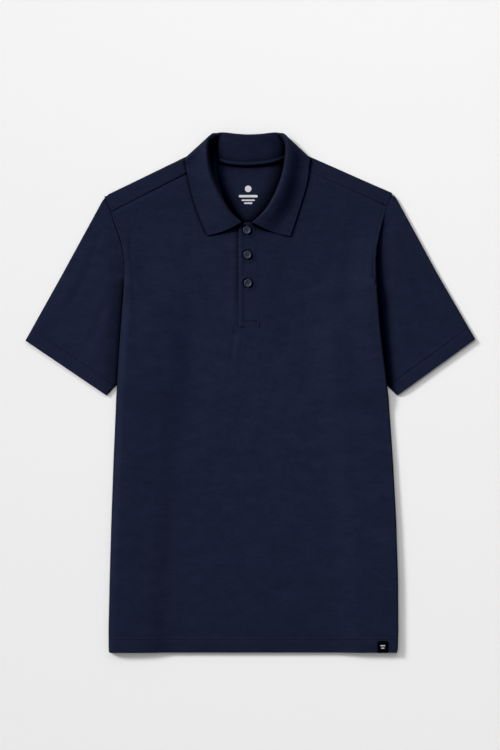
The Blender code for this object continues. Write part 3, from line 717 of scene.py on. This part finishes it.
def plain_material(name, dark, light, roughness, specular, weave=None):
    """A mottled colour; weave is a tape's threads to the metre."""
    made, tree, shader = principled(name, roughness, specular)
    tree.links.new(mottled(tree, dark, light), shader.inputs["Base Color"])
    if weave:
        u, v, _ = axes(tree, add(tree, "UVMap", {}))
        bump(tree, shader, calc(tree, "MULTIPLY", wave(tree, u, weave), wave(tree, v, weave)), 0.25, 0.0001)
    return made


NAVY_DARK = (0.0074, 0.0104, 0.0265)
NAVY_LIGHT = (0.0124, 0.0163, 0.0385)
BLOTCHES = ((60, 0.34), (230, 0.36), (1100, 0.3))  # noise scales and their shares
# how far the painted shade in hollows reaches and how strongly it darkens
HOLLOW_SHADE_REACH, HOLLOW_SHADE_POWER = 0.024, 4.8
DIMPLES, RIBS, COURSES = (700, 560), 620, 806    # to the metre
KNIT = knit_material()
RIB = rib_material()
THREAD = plain_material("thread", (0.011, 0.0145, 0.036), (0.017, 0.021, 0.046), 0.6, 0.3)
BUTTON = plain_material("button", (0.0155, 0.0185, 0.0365), (0.0265, 0.0305, 0.055), 0.42, 0.3)
LABEL_TAPE = plain_material("label", (0.001, 0.0011, 0.0014), (0.0022, 0.0023, 0.0028), 0.85, 0.05, 1800)
PRINT = plain_material("print", (0.44, 0.45, 0.48), (0.6, 0.61, 0.64), 0.7, 0.3)


# Pieces

def make_cloth(node, verts, faces, flat, wall, material=None, slot="knit"):
    """A piece of cloth with the flat cut that it was made from, as flat has it."""
    made = new_object(node + "_cloth", verts, faces, flat, wall)
    dress(made, material or KNIT, slot, node)


def make_panel(node, outline, lay, columns, rows):
    flat, quads = fill_outline(outline, columns, rows)
    make_cloth(node, lay(flat[:, 0], flat[:, 1]), quads, flat, SHELL)


def both_sides(*stretches):
    values = steps(*stretches)
    return sorted({round(-value, 4) for value in values} | {round(value, 4) for value in values})


def make_front():
    columns = both_sides((0, 176, 3.2), (176, 185, 1), (185, HALF + 8, 0.5), (HALF + 8, HALF + 68, 6))
    rows = steps((HEM, HEM + 28, 1), (HEM + 28, 150, 3.4), (150, 322, 2.6))
    make_panel("front", front_outline(), lay_front, columns, rows)


def make_back():
    columns = both_sides((0, 180, 4), (180, HALF + 4, 0.8), (HALF + 4, HALF + 68, 8))
    rows = steps((HEM, HEM + 28, 2), (HEM + 28, 240, 5), (240, 262, 3), (262, 370, 1))
    make_panel("back", back_outline(), lay_back, columns, rows)


def shoulder_tip(side):
    """Where the body's fold over the shoulder meets the armhole, seen from above."""
    start = Vector(FORWARD_SEAM[side][0])
    flat = Vector(unfold_shoulder(*start))
    before, after = float(over_shoulder(*start)), float(over_shoulder(*flat))
    tip = start.lerp(flat, -before / (after - before)) + Vector(SHOULDER_ACROSS[side]) * SHOULDER_ROLL
    return tip.x + side * 2 * ARMHOLE_GAP, tip.y


def armhole_points(sleeve):
    """The sleeve's armhole edge from its head to the armpit, with its upper layer's height. Sewn under
    the front's edge, it runs a little inside it."""
    side, low = sleeve.side, SLEEVE_LOW[sleeve.side]
    x, y = shoulder_tip(side)
    points = [(x - side * 2.6, y - 1, SLEEVE_LOFT - 0.6)]
    if side > 0:
        points.append((193, 267, SLEEVE_LOFT - 1))
    for y in ARMHOLE_LEVELS:
        edge = side * float(body_edge(side, y))
        points.append((edge - side * 2.4, y, float(front_height(edge, y)) - 1.1))
    for y, inward, rise in UNDERARM:
        points.append((side * (float(body_edge(side, y)) - inward), y, low + rise))
    return np.array(points + [(*sleeve.armpit, low)])


def along_path(points, share):
    """Points of a polyline at shares of its length seen from above."""
    lengths = path_lengths(points[:, :2])
    return np.stack([np.interp(share * lengths[-1], lengths, points[:, axis]) for axis in range(3)], -1)


def sleeve_top(sleeve, start_z, reach, to_cuff, x, y):
    """The upper layer: settles from its armhole edge, with creases and a doubled hem at the cuff."""
    out, low = np.abs(x) - body_edge(x, y), SLEEVE_LOW[sleeve.side]
    clear = smooth((out - 2 - 6 * fade((y - SEAM_LEVEL + 10) / 40)) / 20)
    level = low + (SLEEVE_LOFT - low) * clear
    if sleeve.side < 0:
        level += bell(reach - 4.9, 1.5, 1.1) * smooth((y - 140) / 20)
    shoulder = smooth((y - 238) / 22)
    level += (SLEEVE_LOFT - level) * shoulder
    rise = smooth((reach - 2 + 1.5 * shoulder) / (6.5 - 2.5 * shoulder))
    height = level + (start_z - level) * (1 - rise)
    height += clear * smooth(reach / 10) * (0.5 - crease_depth(SLEEVE_CREASES[sleeve.side], x, y))
    height += smooth(out / 8) * 0.3 * fade((to_cuff - CUFF_ROW) / 2)
    welt = bell(to_cuff - CUFF_ROW - 2.2, 1.5, 0.35) - bell(to_cuff - CUFF_ROW, 1.2, 0.6)
    return height + smooth(out / 6) * welt


def cuff_direction(sleeve):
    ends = np.array([sleeve.cuff_outer, sleeve.cuff_inner])
    cuff = ends[1] - ends[0]
    return np.array([-cuff[1], cuff[0]]) / np.hypot(*cuff)


def sleeve_points(sleeve, shares, along):
    """Points of the upper and the lower layer, at shares round the opening and along to the cuff."""
    shares, along = np.broadcast_arrays(np.asarray(shares, float), np.asarray(along, float))
    edge = along_path(armhole_points(sleeve), shares)
    ends = np.array([sleeve.cuff_outer, sleeve.cuff_inner])
    goal = ends[0] + (ends[1] - ends[0]) * shares[:, None]
    place = edge[:, :2] + (goal - edge[:, :2]) * along[:, None]
    bow = SLEEVE_BOW[sleeve.side] * smooth(along / BOW_RISE) * np.maximum(0, 1 - along / BOW_END)
    bow = bow * fade(shares / BOW_DEEP)
    place = place + bow[:, None] * np.array([sleeve.side * SLEEVE_OUT[0], SLEEVE_OUT[1]])
    length = np.hypot(*(goal - edge[:, :2]).T)
    to_cuff = np.abs((place - ends[0]) @ cuff_direction(sleeve))
    z = sleeve_top(sleeve, edge[:, 2], length * along, to_cuff, place[:, 0], place[:, 1])
    return np.column_stack([place, z]), np.column_stack([place, np.full(len(place), BACK_REST)])


def make_sleeve(node, sleeve):
    """One flattened tube: rings of an upper and a lower layer, joined by half-round edges."""
    across = np.array(steps((0, 0.02, 0.01), (0.02, 0.98, 0.016), (0.98, 1, 0.01)))
    along = steps((0, 0.12, 0.007), (0.12, 0.8, 0.02), (0.8, 1, 0.006))
    turns = np.radians(np.linspace(90, -90, 7))
    verts, flat, girth = [], [], 0
    for share in along:
        upper, lower = sleeve_points(sleeve, across, share)
        ring = []
        for layer, other in ((upper, lower), (lower[::-1], upper[::-1])):
            ring += list(layer[1:-1])
            radius = (layer[-1][2] - other[-1][2]) / 2
            outward = np.append((layer[-1] - layer[-2])[:2], 0)
            outward /= np.linalg.norm(outward)
            centre = (layer[-1] + other[-1]) / 2 - outward * abs(radius)
            ring += [centre + outward * abs(radius) * math.cos(t) + np.array([0, 0, radius * math.sin(t)])
                     for t in turns]
        verts += ring
        run = np.cumsum([0] + [float(np.linalg.norm(b - a)) for a, b in zip(ring, ring[1:])])
        flat += [(float(r), 200 * share) for r in run]
        girth = max(girth, float(run[-1] + np.linalg.norm(ring[-1] - ring[0])))
    faces = grid_faces(len(along), len(ring), closed=True)
    length = float(np.linalg.norm(np.array(sleeve.cuff_outer) - shoulder_tip(sleeve.side)))
    make_cloth(node, verts, faces, flat, SHELL)


LEAF_STEPS = 6
COLLAR_FINE = 73


def leaf_fall(side, share):
    """How the leaf comes down from its fold: at once on the left, over a full roll on the right."""
    return (1 - share) ** 2 if side < 0 else 1 - float(smooth(share / 0.66))


COLLAR_STAND = [Section(*LEFT_FEET.get(i, row[:2]), *row[2:]) for i, row in enumerate(COLLAR_LEFT)]


def section_controls(row):
    """Points from the collar's seam, up the stand, round the fold and down the leaf to its edge."""
    lean, edge_z = math.radians(row.lean), row.edge_z
    if edge_z is None:
        edge_z = float(front_form(row.edge_x, row.edge_y)) + 1.7
        if float(below_seam(row.edge_x, row.edge_y)) < 12:
            edge_z = max(edge_z, BACK_REST + 2 * SHOULDER_ROLL + 1.9)
    on_front = row.lean > -30 and abs(row.seam_x) > abs(row.fold_x)
    seam = Vector((row.seam_x, row.seam_y, 3.4 if on_front else 1.9))
    fold = Vector((row.fold_x, row.fold_y, row.fold_z))
    edge = Vector((row.edge_x, row.edge_y, edge_z))
    to_seam, to_edge = (((end - fold) * Vector((1, 1, 0))).normalized() for end in (seam, edge))
    outward = Vector((row.fold_x - NECK_CENTRE[0], row.fold_y - NECK_CENTRE[1] - 20, 0)).normalized()
    apart = outward * math.cos(lean) + Vector((0, 0, math.sin(lean)))
    sink = Vector((0, 0, -row.sink))
    stand = fold + (to_seam - apart) * row.roll + sink
    leaf = fold + (to_edge + apart) * row.roll
    points = [seam, seam.lerp(stand, 0.5), stand,
              fold + (to_seam * 0.3 - apart * 0.72) * row.roll + sink * 0.4, fold,
              fold + (to_edge * 0.3 + apart * 0.72) * row.roll, leaf]
    curved = smooth((row.lean - 20) / 50)
    for step in range(1, LEAF_STEPS + 1):
        share = step / LEAF_STEPS
        fall = curved * leaf_fall(row.edge_x, share) + (1 - curved) * (1 - share)
        point = leaf.lerp(edge, share) + Vector((0, -row.bow * math.sin(math.pi * share), 0))
        points.append(Vector((point.x, point.y, edge.z + (leaf.z - edge.z) * float(fall))))
    return np.array([tuple(point) for point in points])


def smooth_rows(rows, places):
    """Rows of points read along a smooth curve through them."""
    keys = np.arange(len(rows), dtype=float)
    shape = rows.shape[1:]
    values = rows.reshape(len(rows), -1)
    read = np.stack([curve(keys, values[:, i], places) for i in range(values.shape[1])], -1)
    return read.reshape((len(places), *shape))


def make_collar():
    rows = COLLAR_STAND + [COLLAR_MIDDLE, *COLLAR_RIGHT[::-1]]
    controls = np.array([section_controls(row) for row in rows])
    stations = smooth_rows(controls, np.linspace(0, len(rows) - 1, 8 * (len(rows) - 1) + 1))
    fine = smooth_rows(np.swapaxes(stations, 0, 1), np.linspace(0, controls.shape[1] - 1, COLLAR_FINE))
    fine = np.swapaxes(fine, 0, 1)
    verts, faces = fine.reshape(-1, 3), grid_faces(*fine.shape[:2])
    around = path_lengths(fine[:, COLLAR_FINE // 2])
    flat = [(run, 85 * i / (COLLAR_FINE - 1)) for run in around for i in range(COLLAR_FINE)]
    make_cloth("collar", verts, faces, flat, COLLAR_SHELL,
               RIB, "rib")


def placket_height(x, y):
    """The top placket's middle level, raised a little round each button."""
    height = front_form(x, y) + (WALL + PLACKET_WALL) / 2 + GAP
    for centre_x, centre_y in BUTTONS.values():
        away = np.hypot(x - centre_x, y - centre_y)
        height += bell(away - 9, 3, 0.8) * (away > 4)
    return height


def make_strip(node, outline, spacing, height, wall):
    low, high = np.min(outline, axis=0), np.max(outline, axis=0)
    flat, quads = fill_outline(outline, *(steps((start, end, spacing)) for start, end in zip(low, high)))
    verts = np.column_stack([flat, height(flat[:, 0], flat[:, 1])])
    make_cloth(node, verts, quads, flat, wall)


STITCHED_LEFT, STITCHED_RIGHT, BOX_TOP, BOX_FOOT = -8.9, 9.6, 101.2, 92.3  # the placket's stitch lines


def placket_top_height(x, y):
    """Rounded along its free edge and its top, level with the front where it is sewn, with stitch grooves
    and a padded box at its foot."""
    sewn, box = np.minimum(PLACKET_RIGHT - x, y - PLACKET_FOOT), (BOX_FOOT + BOX_TOP) / 2
    height = placket_height(x, y) - 0.7 * fade((x - PLACKET_LEFT) / 2.2)
    height += bell(x - (PLACKET_LEFT + STITCHED_LEFT) / 2, 2.6, 0.5)
    height += bell(x - STITCHED_RIGHT - 2.6, 1.6, 0.25) - 0.75 * fade(sewn / 2)
    height += bell(y - box, 3.4, 0.6) - bell(y - box, 1.2, 0.25)
    height -= bell(x - STITCHED_LEFT, 1.3, 0.34) * (y > BOX_TOP) * (0.3 + 0.7 * smooth((162 - y) / 20))
    height -= bell(y - BOX_TOP, 1.1, 0.6) + bell(y - BOX_FOOT, 1.2, 0.75)
    in_box = between(y, PLACKET_FOOT, 1.5, BOX_TOP, 2)
    height += in_box * bell(x - PLACKET_RIGHT + 1.5, 1.1, 0.45)
    height -= (0.15 + 0.45 * in_box) * bell(x - STITCHED_RIGHT, 1.2, 1)
    return height + 0.5 * smooth((y - 236.5) / 3)


def placket_surface(x, y):
    return placket_top_height(x, y) + PLACKET_SHELL / 2


def make_plackets():
    """The upper strip with its rounded corner, and the lower one in the front's notch."""
    turns = np.radians([90, 67, 45, 22, 0])
    corner = [(PLACKET_LEFT + 4.6 * (1 - math.cos(t)), 238 + 4.6 * math.sin(t)) for t in turns]
    top = [(PLACKET_LEFT, PLACKET_FOOT), (PLACKET_RIGHT, PLACKET_FOOT), (PLACKET_RIGHT, 240), (3, 243.4)]
    make_strip("placket_top", top + corner, 0.8, placket_top_height, PLACKET_SHELL)
    left, right, foot = -11 + GAP, 9 - GAP, PLACKET_FOOT + 4 + GAP
    under = [(left, foot), (right, foot), (right, 241), (left, 241)]
    make_strip("placket_under", under, 2.5, front_form, WALL)


TAPE_PROFILE = ((-3.6, 3.3), (-2.6, 4.2), (-1.4, 4.9), (0, 5.1), (1.2, 4.8), (2.1, 4), (2.7, 2.9),
                (2.4, 1.9), (1.4, 1.6))


def make_tape():
    """The tape over the back neck seam: a ridge a little below the collar's stand."""
    rows = [row for row in COLLAR_STAND if row.lean <= -80] + [COLLAR_MIDDLE]
    rows += [row for row in COLLAR_RIGHT if row.lean <= -80][::-1]
    seams = np.array([(row.seam_x, row.seam_y) for row in rows])
    fine = smooth_rows(seams, np.linspace(0, len(rows) - 1, 73))
    profile = smooth_rows(np.array(TAPE_PROFILE), np.linspace(0, len(TAPE_PROFILE) - 1, 25))
    run = path_lengths(fine)
    rise = 0.35 + 0.65 * smooth(np.minimum(run, run[-1] - run) / 5)
    verts = [(x, y - inset, 1.6 + (z - 1.6) * up) for (x, y), up in zip(fine, rise) for inset, z in profile]
    flat = [(r, inset) for r in run for inset, z in profile]
    faces = grid_faces(len(fine), len(profile))
    make_cloth("neck_tape", verts, faces, flat, TAPE_SHELL, RIB, "rib")


def label_top(x, y, rise=0.35):
    return front_top(x, np.maximum(y, HEM)) + 0.35 + rise


def make_label():
    """The tape label: flat on the front, sewn at its top, and turned under round the hem's edge."""
    middle, bend = (LABEL_LEFT + LABEL_RIGHT) / 2, HEM - GAP - 0.45
    path = [(LABEL_TOP, 0.1), (LABEL_TOP - 0.8, 0.3)]
    path += [(y, 0.34) for y in np.linspace(LABEL_TOP - 2.5, bend + 1.6, 10)]
    path += [(bend + 0.5, 0.1), (bend + 0.1, -0.5), (bend, -1.1), (bend, -1.8)]
    xs = np.linspace(LABEL_LEFT, LABEL_RIGHT, 14)
    verts = [(x, y, float(label_top(x, y, rise))) for y, rise in path for x in xs]
    flat = [(x, y) for y, rise in path for x in xs]
    faces = grid_faces(len(path), len(xs))
    make_cloth("hem_label", verts, faces, flat, TAPE_SHELL, LABEL_TAPE,
               "label")
    marks = []
    for y, wide in LABEL_BARS:
        low = float(label_top(middle, y)) + 0.3
        marks.append(slab(rounded_bar(middle, y, wide, 1.3), low, low + 0.2))
    joined("label_print", marks, PRINT, "label")


def rounded_bar(x, y, wide, high, turns=8):
    """The outline of a bar with round ends; as wide as high, a disc."""
    radius, outline = high / 2, []
    for end, start in ((1, -90), (-1, 90)):
        for t in np.radians(np.linspace(start, start + 180, turns)):
            out = end * (wide / 2 - radius) + radius * math.cos(t)
            outline.append((x + out, y + radius * math.sin(t)))
    return outline


def slab(outline, low, high):
    """Vertices and faces of a thin flat plate over an outline."""
    count = len(outline)
    verts = [(x, y, z) for z in (low, high) for x, y in outline]
    faces = [tuple(range(count, 2 * count)), tuple(range(count))[::-1]]
    faces += [(i, (i + 1) % count, (i + 1) % count + count, i + count) for i in range(count)]
    return verts, faces


def make_neck_print():
    """A plain disc over three plain bars, in place of the printed marks inside the neck."""
    low = BACK_REST + SHELL / 2 - 0.05
    plates = [slab(rounded_bar(*bar, 24), low, low + 0.15) for bar in NECK_PRINT]
    joined("neck_print", plates, PRINT, "label")


def from_bmesh(name, bm, place):
    """An object in metres of a mesh built round zero in millimetres, moved to its place."""
    bmesh.ops.scale(bm, vec=(MM, MM, MM), verts=bm.verts)
    bmesh.ops.translate(bm, vec=[value * MM for value in place], verts=bm.verts)
    data = bpy.data.meshes.new(name)
    bm.to_mesh(data)
    bm.free()
    return placed(name, data)


def make_buttons():
    for name, (x, y) in BUTTONS.items():
        place = (x, y, float(placket_height(x, y)) + PLACKET_WALL / 2 + GAP)
        bm = bmesh.new()
        points = [bm.verts.new((radius, 0, z)) for radius, z in BUTTON_PROFILE]
        edges = [bm.edges.new(pair) for pair in zip(points, points[1:])]
        bmesh.ops.spin(bm, geom=points + edges, axis=(0, 0, 1), cent=(0, 0, 0), dvec=(0, 0, 0),
                       angle=2 * math.pi, steps=64, use_merge=True)
        bmesh.ops.remove_doubles(bm, verts=bm.verts, dist=0.001)
        bmesh.ops.recalc_face_normals(bm, faces=bm.faces)
        made = from_bmesh(name + "_fine", bm, place)
        cutter = hole_cutter(place)
        made.modifiers.new("holes", "BOOLEAN").object = cutter
        apply_modifiers(made)
        bpy.data.objects.remove(cutter, do_unlink=True)
        shade(made, 38)
        dress(made, BUTTON, "button", name)
        thread_cross(name, *place)


def hole_cutter(place):
    bm = bmesh.new()
    for turn in np.radians([45, 135, 225, 315]):
        made = bmesh.ops.create_cone(bm, cap_ends=True, segments=18, radius1=0.62, radius2=0.8, depth=8)
        away = (HOLES_AWAY * math.cos(turn), HOLES_AWAY * math.sin(turn), 0)
        bmesh.ops.translate(bm, verts=made["verts"], vec=away)
    return from_bmesh("hole_cutter", bm, place)


def tube(points, radius, sides=6):
    """Vertices and faces of a closed round tube along points."""
    points, verts = np.asarray(points, float), []
    last = len(points) - 1
    for i, point in enumerate(points):
        ahead = points[min(i + 1, last)] - points[max(i - 1, 0)]
        ahead /= np.linalg.norm(ahead)
        side = np.cross(ahead, (0, 0, 1))
        if np.linalg.norm(side) < 1e-3:
            side = np.array([1.0, 0.0, 0.0])
        side /= np.linalg.norm(side)
        up = np.cross(side, ahead)
        width = radius * (0.55 if i in (0, last) else 1)
        for k in range(sides):
            turn = 2 * math.pi * k / sides
            verts.append(point + width * (math.cos(turn) * side + math.sin(turn) * up))
    ends = [tuple(range(sides))[::-1], tuple(range(last * sides, (last + 1) * sides))]
    return verts, grid_faces(last + 1, sides, closed=True) + ends


def joined(name, parts, material, slot):
    """One object of many (vertices, faces) parts."""
    verts, faces = [], []
    for part_verts, part_faces in parts:
        start = len(verts)
        verts += [tuple(v) for v in part_verts]
        faces += [tuple(start + i for i in face) for face in part_faces]
    dress(new_object(name, verts, faces), material, slot)


def thread_cross(name, x, y, seat):
    """The threads between the button's holes, crossed, three strands each way."""
    level = seat + BUTTON_HEIGHT - 0.78
    parts = []
    for degrees, rise in ((45, 0), (135, 0.22)):
        along = np.array([math.cos(math.radians(degrees)), math.sin(math.radians(degrees))])
        across = np.array([-along[1], along[0]])
        for offset in (-0.2, 0, 0.2):
            path = []
            for t in np.linspace(0, 1, 9):
                spot = along * HOLES_AWAY * (1 - 2 * t) + across * offset
                dip = -1.2 * (abs(2 * t - 1) ** 8)
                path.append((x + spot[0], y + spot[1], level + rise * math.sin(math.pi * t) + dip))
            parts.append(tube(path, 0.13))
    joined(name + "_thread", parts, THREAD, "rib")


# Stitch rows

STITCH = 2.6
STITCH_GAP = 0.7
THREAD_RADIUS = 0.17


def stitch_row(points, surface, length=STITCH):
    """Stitches along a path seen from above; surface(x, y) is the cloth's top there."""
    points = np.asarray(points, float)[:, :2]
    lengths = path_lengths(points)
    pitch = length + STITCH_GAP
    parts = []
    for i in range(int(lengths[-1] / pitch)):
        at = (i * pitch + STITCH_GAP / 2) + np.array([0, 0.3, 0.7, 1]) * length
        x, y = np.interp(at, lengths, points[:, 0]), np.interp(at, lengths, points[:, 1])
        z = surface(x, y) + np.array([-0.05, 0.13, 0.13, -0.05])
        parts.append(tube(np.column_stack([x, y, z]), THREAD_RADIUS, 5))
    return parts


def front_top(x, y):
    return front_height(x, y) + SHELL / 2


def hem_stitches():
    parts = []
    for row in HEM_ROWS:
        y = HEM + row
        xs = np.arange(-float(body_edge(-1, y)) - 1, float(body_edge(1, y)) + 1, 4)
        parts += stitch_row(np.column_stack([xs, np.full_like(xs, y)]), front_top)
    return parts


def armhole_stitches(side):
    ys = np.arange(134, 256, 2)
    xs = side * (body_edge(np.full_like(ys, side), ys) - TOPSTITCH)
    return stitch_row(np.column_stack([xs, ys]), front_top)


def shoulder_stitches(side):
    """Topstitching on the back's forward strip, just past the seam."""
    start, end = (np.array(point) for point in FORWARD_SEAM[side])
    across = np.array(SHOULDER_ACROSS[side])
    line = [start + (end - start) * t + across * 3.2 for t in np.linspace(0.03, 1, 40)]
    level = BACK_REST + 2 * SHOULDER_ROLL + SHELL / 2
    return stitch_row(line, lambda x, y: np.full_like(x, level))


def cuff_stitches(sleeve):
    """A row at one distance from the cuff's edge, right across the sleeve."""
    shares = np.linspace(0.015, 0.985, 60)
    edge = along_path(armhole_points(sleeve), shares)[:, :2]
    reach = np.abs((edge - np.array(sleeve.cuff_outer)) @ cuff_direction(sleeve))
    line, _ = sleeve_points(sleeve, shares, 1 - CUFF_ROW / reach)
    ordered = line[np.argsort(line[:, 0])]

    def surface(x, y):
        return np.interp(x, ordered[:, 0], ordered[:, 2]) + SHELL / 2 + 0.1

    return stitch_row(line, surface)


def placket_stitches():
    """Both long edges, the edge of the box and its foot."""
    left, edge, right = STITCHED_LEFT, PLACKET_LEFT + 1.6, STITCHED_RIGHT
    lines = (((left, 236), (left, BOX_TOP)), ((right, 232), (right, BOX_FOOT)),
             ((edge, 236), (edge, BOX_FOOT)), ((edge, BOX_TOP), (right, BOX_TOP)),
             ((edge, BOX_FOOT), (right, BOX_FOOT)))
    return [part for line in lines for part in stitch_row(line, placket_surface, 2.2)]


def buttonhole_stitches():
    """The worked edge of each upright buttonhole, which shows past its button's rim."""
    parts = []
    for x, y in BUTTONS.values():
        loop = rounded_bar(0, 0, 14.6, 2)
        loop = np.array([(x + b, y + a) for a, b in loop + loop[:1]])
        z = placket_surface(loop[:, 0], loop[:, 1]) + 0.05
        parts.append(tube(np.column_stack([loop, z]), 0.32, 6))
    return parts


def make_stitches():
    parts = hem_stitches() + placket_stitches() + buttonhole_stitches()
    for side in (-1, 1):
        parts += armhole_stitches(side) + shoulder_stitches(side)
    for sleeve in SLEEVES.values():
        parts += cuff_stitches(sleeve)
    joined("stitches", parts, THREAD, "rib")


# Scene

def make_floor():
    bpy.ops.mesh.primitive_plane_add(size=60, location=(0, 0, -0.0002))
    floor = bpy.context.object
    floor.name = "floor"
    made, _, shader = principled("floor", 0.95, 0.1)
    shader.inputs["Base Color"].default_value = (0.80, 0.80, 0.80, 1)
    floor.data.materials.append(made)


Light = namedtuple("Light", "name strength width elevation")
SUNS = rows_of(Light, ("key", 3.05, 13, 26), ("soft", 0.96, 75, 48))
LIGHT_FROM = (-0.842, 0.539)      # where they stand, seen from above
FILL_STRENGTH = 0.25
TOP_POWER = 14
TOP_PLACE = (0.2, 1.45, 1.8)      # metres
BLACK = 0.0028                     # linear light taken off, as the photograph's deep shadows show


def make_light():
    for row in SUNS:
        data = bpy.data.lights.new(row.name, "SUN")
        data.energy = row.strength
        data.angle = math.radians(row.width)
        flat, rise = math.cos(math.radians(row.elevation)), math.sin(math.radians(row.elevation))
        towards = Vector((LIGHT_FROM[0] * flat, LIGHT_FROM[1] * flat, rise))
        placed(row.name, data).rotation_euler = towards.to_track_quat("Z", "Y").to_euler()
    data = bpy.data.lights.new("top", "AREA")
    data.energy = TOP_POWER
    data.size = 1.6
    top = placed("top", data)
    top.location = TOP_PLACE
    top.rotation_euler = Vector(TOP_PLACE).to_track_quat("Z", "Y").to_euler()
    world = bpy.data.worlds.new("studio")
    world.use_nodes = True
    background = world.node_tree.nodes["Background"]
    background.inputs["Color"].default_value = (1, 1, 1, 1)
    background.inputs["Strength"].default_value = FILL_STRENGTH
    bpy.context.scene.world = world
    view = bpy.context.scene.view_settings
    view.view_transform = "Standard"
    view.use_curve_mapping = True
    view.curve_mapping.black_level = (BLACK, BLACK, BLACK)
    view.curve_mapping.update()


LENS, SENSOR, PIXEL = 85, 36, 1.43


def make_camera():
    """Straight above; PIXEL of shirt to a pixel of the 500 by 750 frame."""
    data = bpy.data.cameras.new("camera")
    data.lens, data.sensor_width = LENS, SENSOR
    camera = placed("camera", data)
    camera.location = (-0.4 * MM, 24.9 * MM, (750 * PIXEL * LENS / SENSOR + 5) * MM)
    bpy.context.scene.camera = camera


def main():
    make_front()
    make_back()
    for name, sleeve in SLEEVES.items():
        make_sleeve(name, sleeve)
    make_collar()
    make_plackets()
    make_tape()
    make_label()
    make_neck_print()
    make_buttons()
    make_stitches()
    make_floor()
    make_light()
    make_camera()


main()
